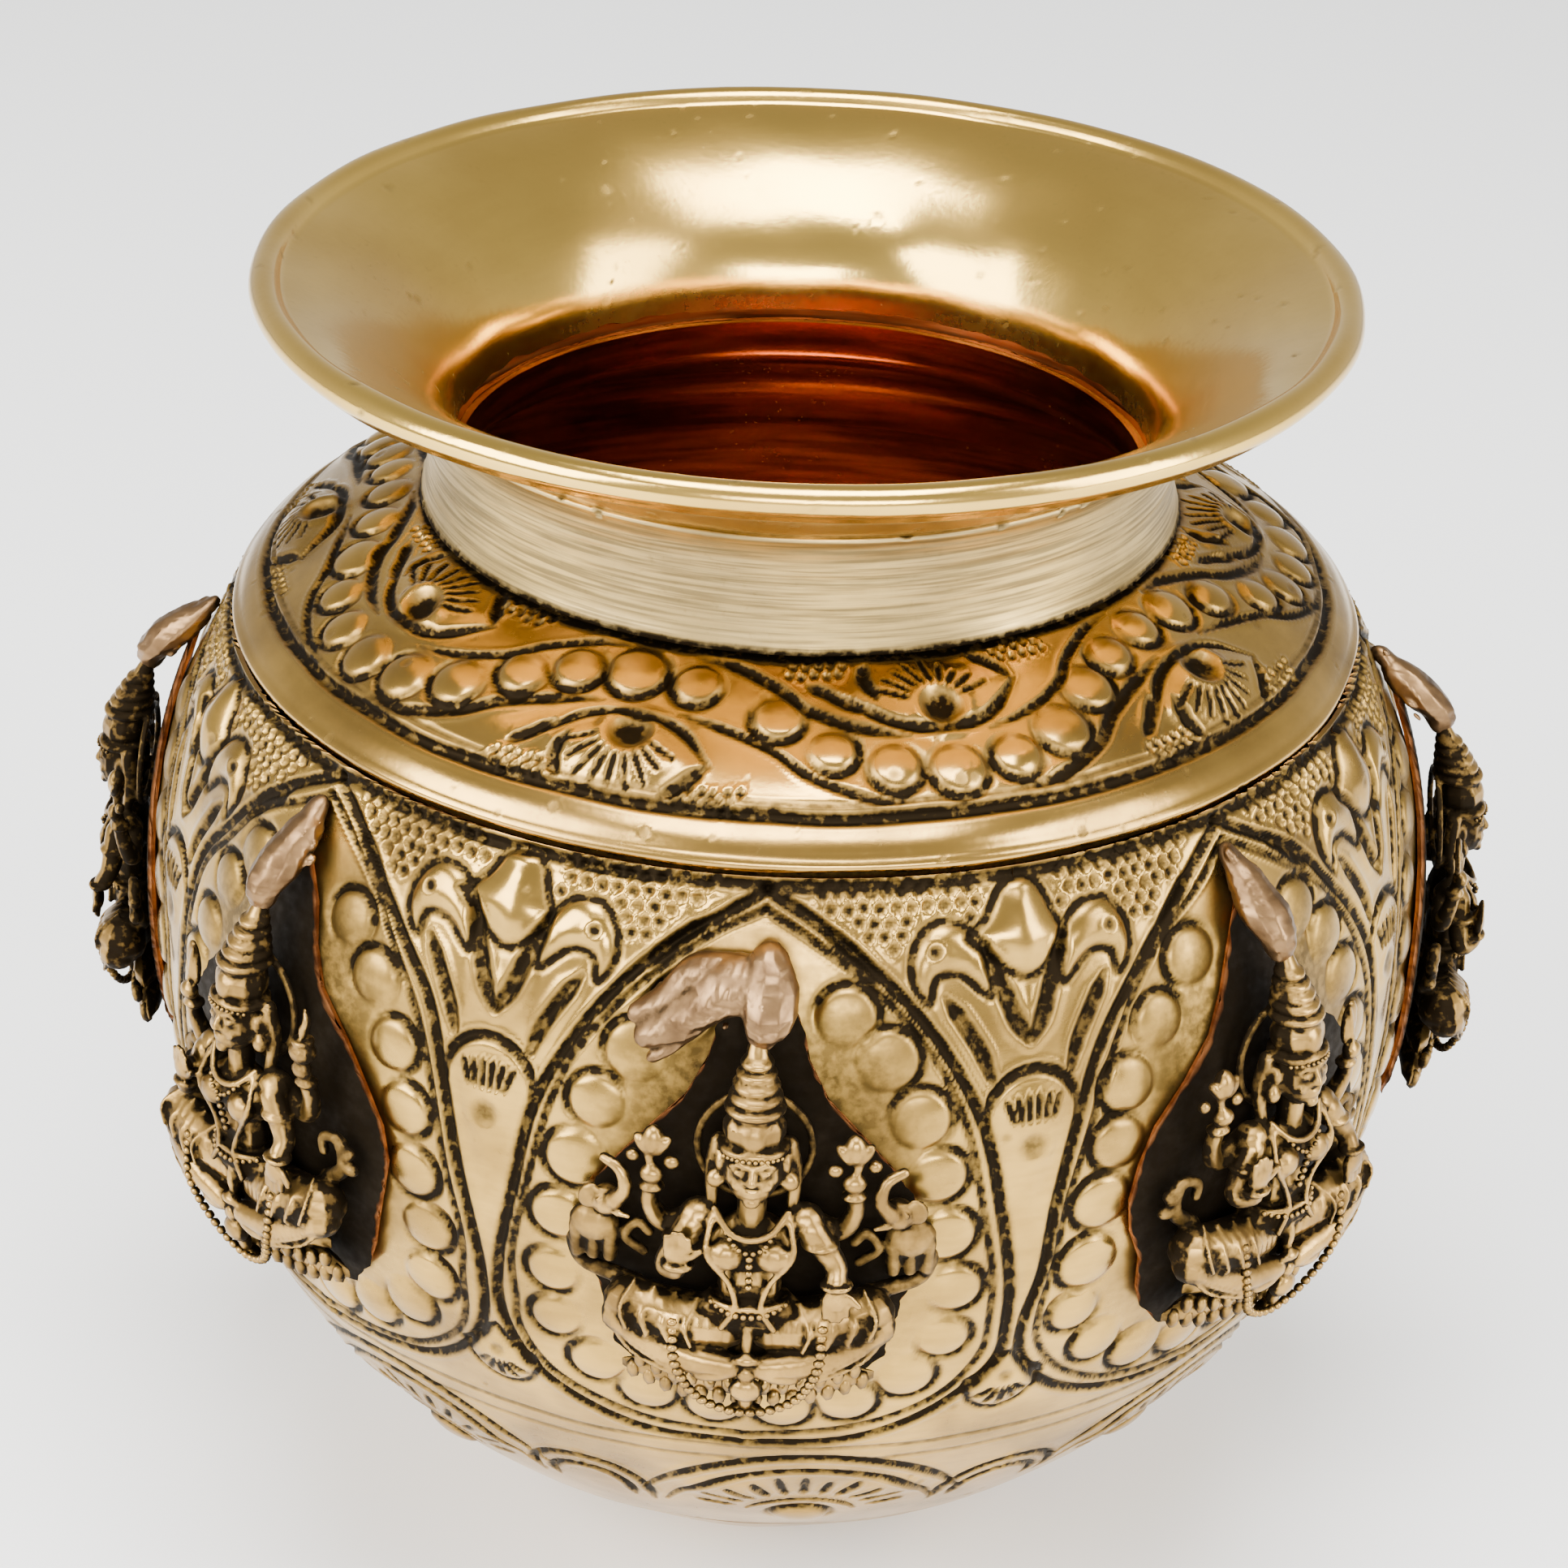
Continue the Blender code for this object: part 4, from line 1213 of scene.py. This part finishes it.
figure_brass = aged_brass(
    "rubbed cast brass", (0.46, 0.27, 0.07), (0.21, 0.12, 0.033), 0.26, patch=260.0,
    streaks=(900.0, 900.0, 900.0), streak_mix=0.15
)
HOLDING = [
    ("bud", "bud"), ("bud", "leaf"), ("disc", "bud"), ("pot", "bud"), ("bud", "disc"), ("leaf", "pot"),
    ("disc", "bud"), ("leaf", "pot")
]
for k, (held_left, held_right) in enumerate(HOLDING):
    dice = np.random.default_rng(900 + k)
    lean = 0.0 if k == 0 else dice.uniform(-0.35, 0.35)
    flat, faces = figure_wax(held_left, held_right, k % 4 == 0, lean).cast(f"wax_{k + 1}")
    deep = hollows(flat, faces)
    soot = np.clip(0.62 + deep / 0.09, 0, 1)
    soot = np.maximum(soot, np.clip((3.2 - flat[:, 2]) / 1.1, 0, 1) * np.clip(0.95 + deep / 0.7, 0.5, 1))
    # What turns away from the light in front and above is painted dark: painted shade.
    soot = np.maximum(soot, np.clip((0.86 - facing_the_light(flat, faces)) / 0.42, 0, 0.97))
    points = onto_belly(flat, k)
    piece = solid(f"seated_figure_{k + 1}", points, faces, soot=soot, inside=0 * soot)
    finished(piece, figure_brass, f"deity_figure_{k + 1}")
    # Its beads and seat petals: a garland over the knees, a necklace and its drop,
    # a hair band, a belt and two rows of petals round the seat.
    rows = [
        (
            [
                (-4.6, 9.0, 4.9), (-4.3, 5.6, 5.45), (-2.9, 2.3, 4.9), (0, 0.9, 4.6), (2.9, 2.3, 4.9),
                (4.3, 5.6, 5.45), (4.6, 9.0, 4.9)
            ],
            0.66, (0.4, 0.36, 0.36)
        ),
        (
            [(-1.9, 17.3, 4.1), (-0.9, 15.9, 5.1), (0, 15.4, 5.15), (0.9, 15.9, 5.1), (1.9, 17.3, 4.1)],
            0.44, (0.2, 0.2, 0.2)
        ),
        ([(0, 15.0, 5.2), (0, 13.4, 4.9), (0, 12.3, 4.7)], 0.6, (0.26, 0.26, 0.26)),
        (
            [
                (lean - 1.75, 22.6, 4.6), (lean - 0.9, 22.75, 5.35), (lean, 22.8, 5.55),
                (lean + 0.9, 22.75, 5.35), (lean + 1.75, 22.6, 4.6)
            ],
            0.36, (0.17, 0.17, 0.17)
        ),
        (
            [(-2.3, 10.4, 4.0), (-1.2, 10.1, 4.85), (0, 10.0, 5.1), (1.2, 10.1, 4.85), (2.3, 10.4, 4.0)],
            0.45, (0.22, 0.25, 0.22)
        ),
        (
            [(-7.6, 2.2, 2.35), (-4.5, 1.3, 2.75), (0, 1.0, 3.0), (4.5, 1.3, 2.75), (7.6, 2.2, 2.35)],
            1.15, (0.5, 0.95, 0.5)
        ),
        (
            [(-7.0, 3.6, 2.85), (-4.5, 2.9, 3.2), (0, 2.6, 3.4), (4.5, 2.9, 3.2), (7.0, 3.6, 2.85)], 1.1,
            (0.46, 0.85, 0.45)
        ),
    ]
    made = [strung(path, spacing, size, figure_brass) for path, spacing, size in rows]
    starts = np.cumsum([0] + [len(p) for p, _ in made])
    flat = np.concatenate([p for p, _ in made])
    faces = np.concatenate([f + start for (_, f), start in zip(made, starts)])
    # Beads are darker towards the belly, and what turns away from the light is painted dark: painted shade.
    soot = np.maximum(
        0.3 * np.clip((4.4 - flat[:, 2]) / 2.4, 0, 1),
        np.clip((0.74 - facing_the_light(flat, faces)) / 0.35, 0, 0.97)
    )
    piece = solid(f"figure_beads_{k + 1}", onto_belly(flat, k), faces, soot=soot, inside=0 * soot)
    piece.data.materials.append(figure_brass)
    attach(piece, "root")

# The crown solder: a lump of pinkish brazing metal that holds each figure by the crown. The front
# one ran and was dragged to the left; the others are small tapered drops.
solder_metal = aged_brass(
    "crown solder", (0.25, 0.145, 0.064), (0.10, 0.056, 0.026), 0.32, patch=400.0,
    streaks=(700.0, 700.0, 700.0), streak_mix=0.2, blacking=0.8
)
for k in range(BAYS):
    dice = np.random.default_rng(60 + k)
    wax = Wax()
    if k == 0:
        wax.roll([(0.2, 30.2, 2.6), (0.7, 32.4, 3.0), (0.4, 34.0, 2.2)], [1.1, 2.0, 1.5])
        wax.roll([(1.3, 32.6, 3.0), (1.6, 32.8, 2.4)], [1.0, 0.8])
        wax.roll(
            [(0.3, 32.7, 2.4), (-2.4, 32.4, 1.9), (-5.0, 30.4, 1.5), (-7.6, 28.6, 1.2)],
            [1.7, 1.7, 1.5, 0.9]
        )
        wax.roll(
            [(-1.6, 33.2, 1.8), (-4.6, 32.6, 1.4), (-6.4, 31.0, 1.2), (-8.4, 29.9, 1.0)],
            [1.1, 1.2, 1.0, 0.6]
        )
        wax.roll([(-3.4, 30.9, 1.5), (-5.6, 28.4, 1.2), (-7.0, 27.1, 1.0)], [0.9, 0.7, 0.45])
        for _ in range(26):
            wax.ball(
                (dice.uniform(-7.6, 1.6), dice.uniform(29.6, 33.2), dice.uniform(0.9, 1.6)),
                dice.uniform(0.2, 0.55)
            )
    else:
        tip = dice.uniform(-0.5, 0.5)
        wax.roll([(0, 30.0, 2.5), (tip * 0.5, 31.8, 2.6), (tip, 34.0, 1.3)], [1.0, 1.9, 1.5])
        wax.roll([(tip, 33.0, 1.8), (tip * 2.6, 35.4, 0.7)], [1.6, 0.8])
        for _ in range(7):
            wax.ball((tip + dice.normal(0, 1.0), 32.6 + dice.normal(0, 1.1), 1.3), dice.uniform(0.3, 0.6))
    flat, faces = wax.cast(f"drop_{k + 1}")
    deep = hollows(flat, faces)
    wobble = sum(
        np.sin(flat @ dice.normal(0, f, 3) + dice.uniform(0, TURN)) * a for f,
        a in ((1.6, 0.1), (3.4, 0.05), (6.0, 0.03))
    )
    flat[:, 2] += wobble
    z = FIGURE_LOW + flat[:, 1] * FIGURE_TALL / 30.9
    az = k * BAY + flat[:, 0] / BELLY_R
    r = belly_outline.r(up(np.minimum(z, 73.0))) + flat[:, 2] + 0.3 * np.clip(32.5 - flat[:, 1], 0, 2)
    points = np.stack([r * np.sin(az), -r * np.cos(az), z], -1)
    blotch = np.sin(flat @ dice.normal(0, 1.1, 3)) * np.sin(flat @ dice.normal(0, 2.3, 3))
    soot = np.clip(0.22 + deep / 0.16 + 0.4 * np.clip(blotch, 0, 1), 0, 1)
    soot = np.maximum(soot, np.clip((0.9 - flat[:, 2]) / 0.5, 0, 0.95))
    piece = solid(f"solder_drop_{k + 1}", points, faces, soot=soot, inside=0 * soot)
    finished(piece, solder_metal, f"crown_solder_{k + 1}")

# The pot stands on a plain pale table top.
table_mesh = bpy.data.meshes.new("table_top")
table_mesh.from_pydata([(-2, -2, 0), (2, -2, 0), (2, 2, 0), (-2, 2, 0)], [], [(0, 1, 2, 3)])
table_top = bpy.data.objects.new("table_top", table_mesh)
bpy.context.scene.collection.objects.link(table_top)
table_paint = bpy.data.materials.new("pale table paint")
table_paint.use_nodes = True
table_paint.node_tree.nodes["Principled BSDF"].inputs["Base Color"].default_value = (0.86, 0.86, 0.85, 1)
table_paint.node_tree.nodes["Principled BSDF"].inputs["Roughness"].default_value = 0.6
table_mesh.materials.append(table_paint)

# Soft studio light: a room that is pale up to the level of the table, darkest halfway up and grey
# overhead, with four large soft boxes for the metal to show.
room = bpy.data.worlds.new("studio room")
bpy.context.scene.world = room
room.use_nodes = True
room_nodes, room_links = room.node_tree.nodes, room.node_tree.links
height = room_nodes.new("ShaderNodeSeparateXYZ")
room_links.new(room_nodes.new("ShaderNodeTexCoord").outputs["Generated"], height.inputs[0])
fade = room_nodes.new("ShaderNodeValToRGB")
for element, (place, shade) in zip(
    (*fade.color_ramp.elements, fade.color_ramp.elements.new(0.5)), ((0.0, 0.9), (0.5, 0.14), (1.0, 0.42))
):
    element.position, element.color = place, (shade, shade, shade * 0.98, 1)
room_links.new(height.outputs["Z"], fade.inputs["Fac"])
room_links.new(fade.outputs["Color"], room_nodes["Background"].inputs["Color"])


def soft_box(name, place, size, power, aim=(0, 0, 0.06)):
    lamp = bpy.data.lights.new(name, "AREA")
    lamp.shape, lamp.size, lamp.size_y, lamp.energy = "RECTANGLE", *size, power
    made = bpy.data.objects.new(name, lamp)
    made.location = place
    made.rotation_mode = "QUATERNION"
    made.rotation_quaternion = (Vector(aim) - made.location).to_track_quat("-Z", "Y")
    bpy.context.scene.collection.objects.link(made)


soft_box("left_soft_box", (-0.55, -0.35, 0.42), (0.5, 0.5), 12.0)
soft_box("right_soft_box", (0.6, -0.25, 0.35), (0.3, 0.6), 8.0)
soft_box("top_soft_box", (0.0, -0.12, 0.75), (0.45, 0.35), 12.0)
soft_box("front_soft_box", (0.1, -0.8, 0.34), (0.5, 0.2), 7.0)

# The camera looks down a little on the front figure, close enough for the mouth to look wide.
VIEW_AZ = math.radians(1.6)
LOOK_DOWN, TILT, DISTANCE = math.radians(29.95), math.radians(2.06), 0.3


def swung(x, y, z):
    c, s = math.cos(VIEW_AZ), math.sin(VIEW_AZ)
    return Vector((c * x - s * y, s * x + c * y, z))


eye = swung(0, -DISTANCE * math.cos(LOOK_DOWN), 0.05 + DISTANCE * math.sin(LOOK_DOWN))
forward = (swung(-0.00041, 0, 0.0571) - eye).normalized()
right = forward.cross(Vector((0, 0, 1))).normalized()
upward = right.cross(forward)
right, upward = (
    right * math.cos(TILT) + upward * math.sin(TILT),
    upward * math.cos(TILT) - right * math.sin(TILT),
)
camera_data = bpy.data.cameras.new("camera")
camera_data.sensor_width, camera_data.lens = 36.0, 88.03
camera_data.clip_start, camera_data.clip_end = 0.01, 20.0
camera = bpy.data.objects.new("camera", camera_data)
camera.matrix_world = Matrix((
    (right.x, upward.x, -forward.x, eye.x),
    (right.y, upward.y, -forward.y, eye.y),
    (right.z, upward.z, -forward.z, eye.z),
    (0, 0, 0, 1),
))
bpy.context.scene.collection.objects.link(camera)
bpy.context.scene.camera = camera
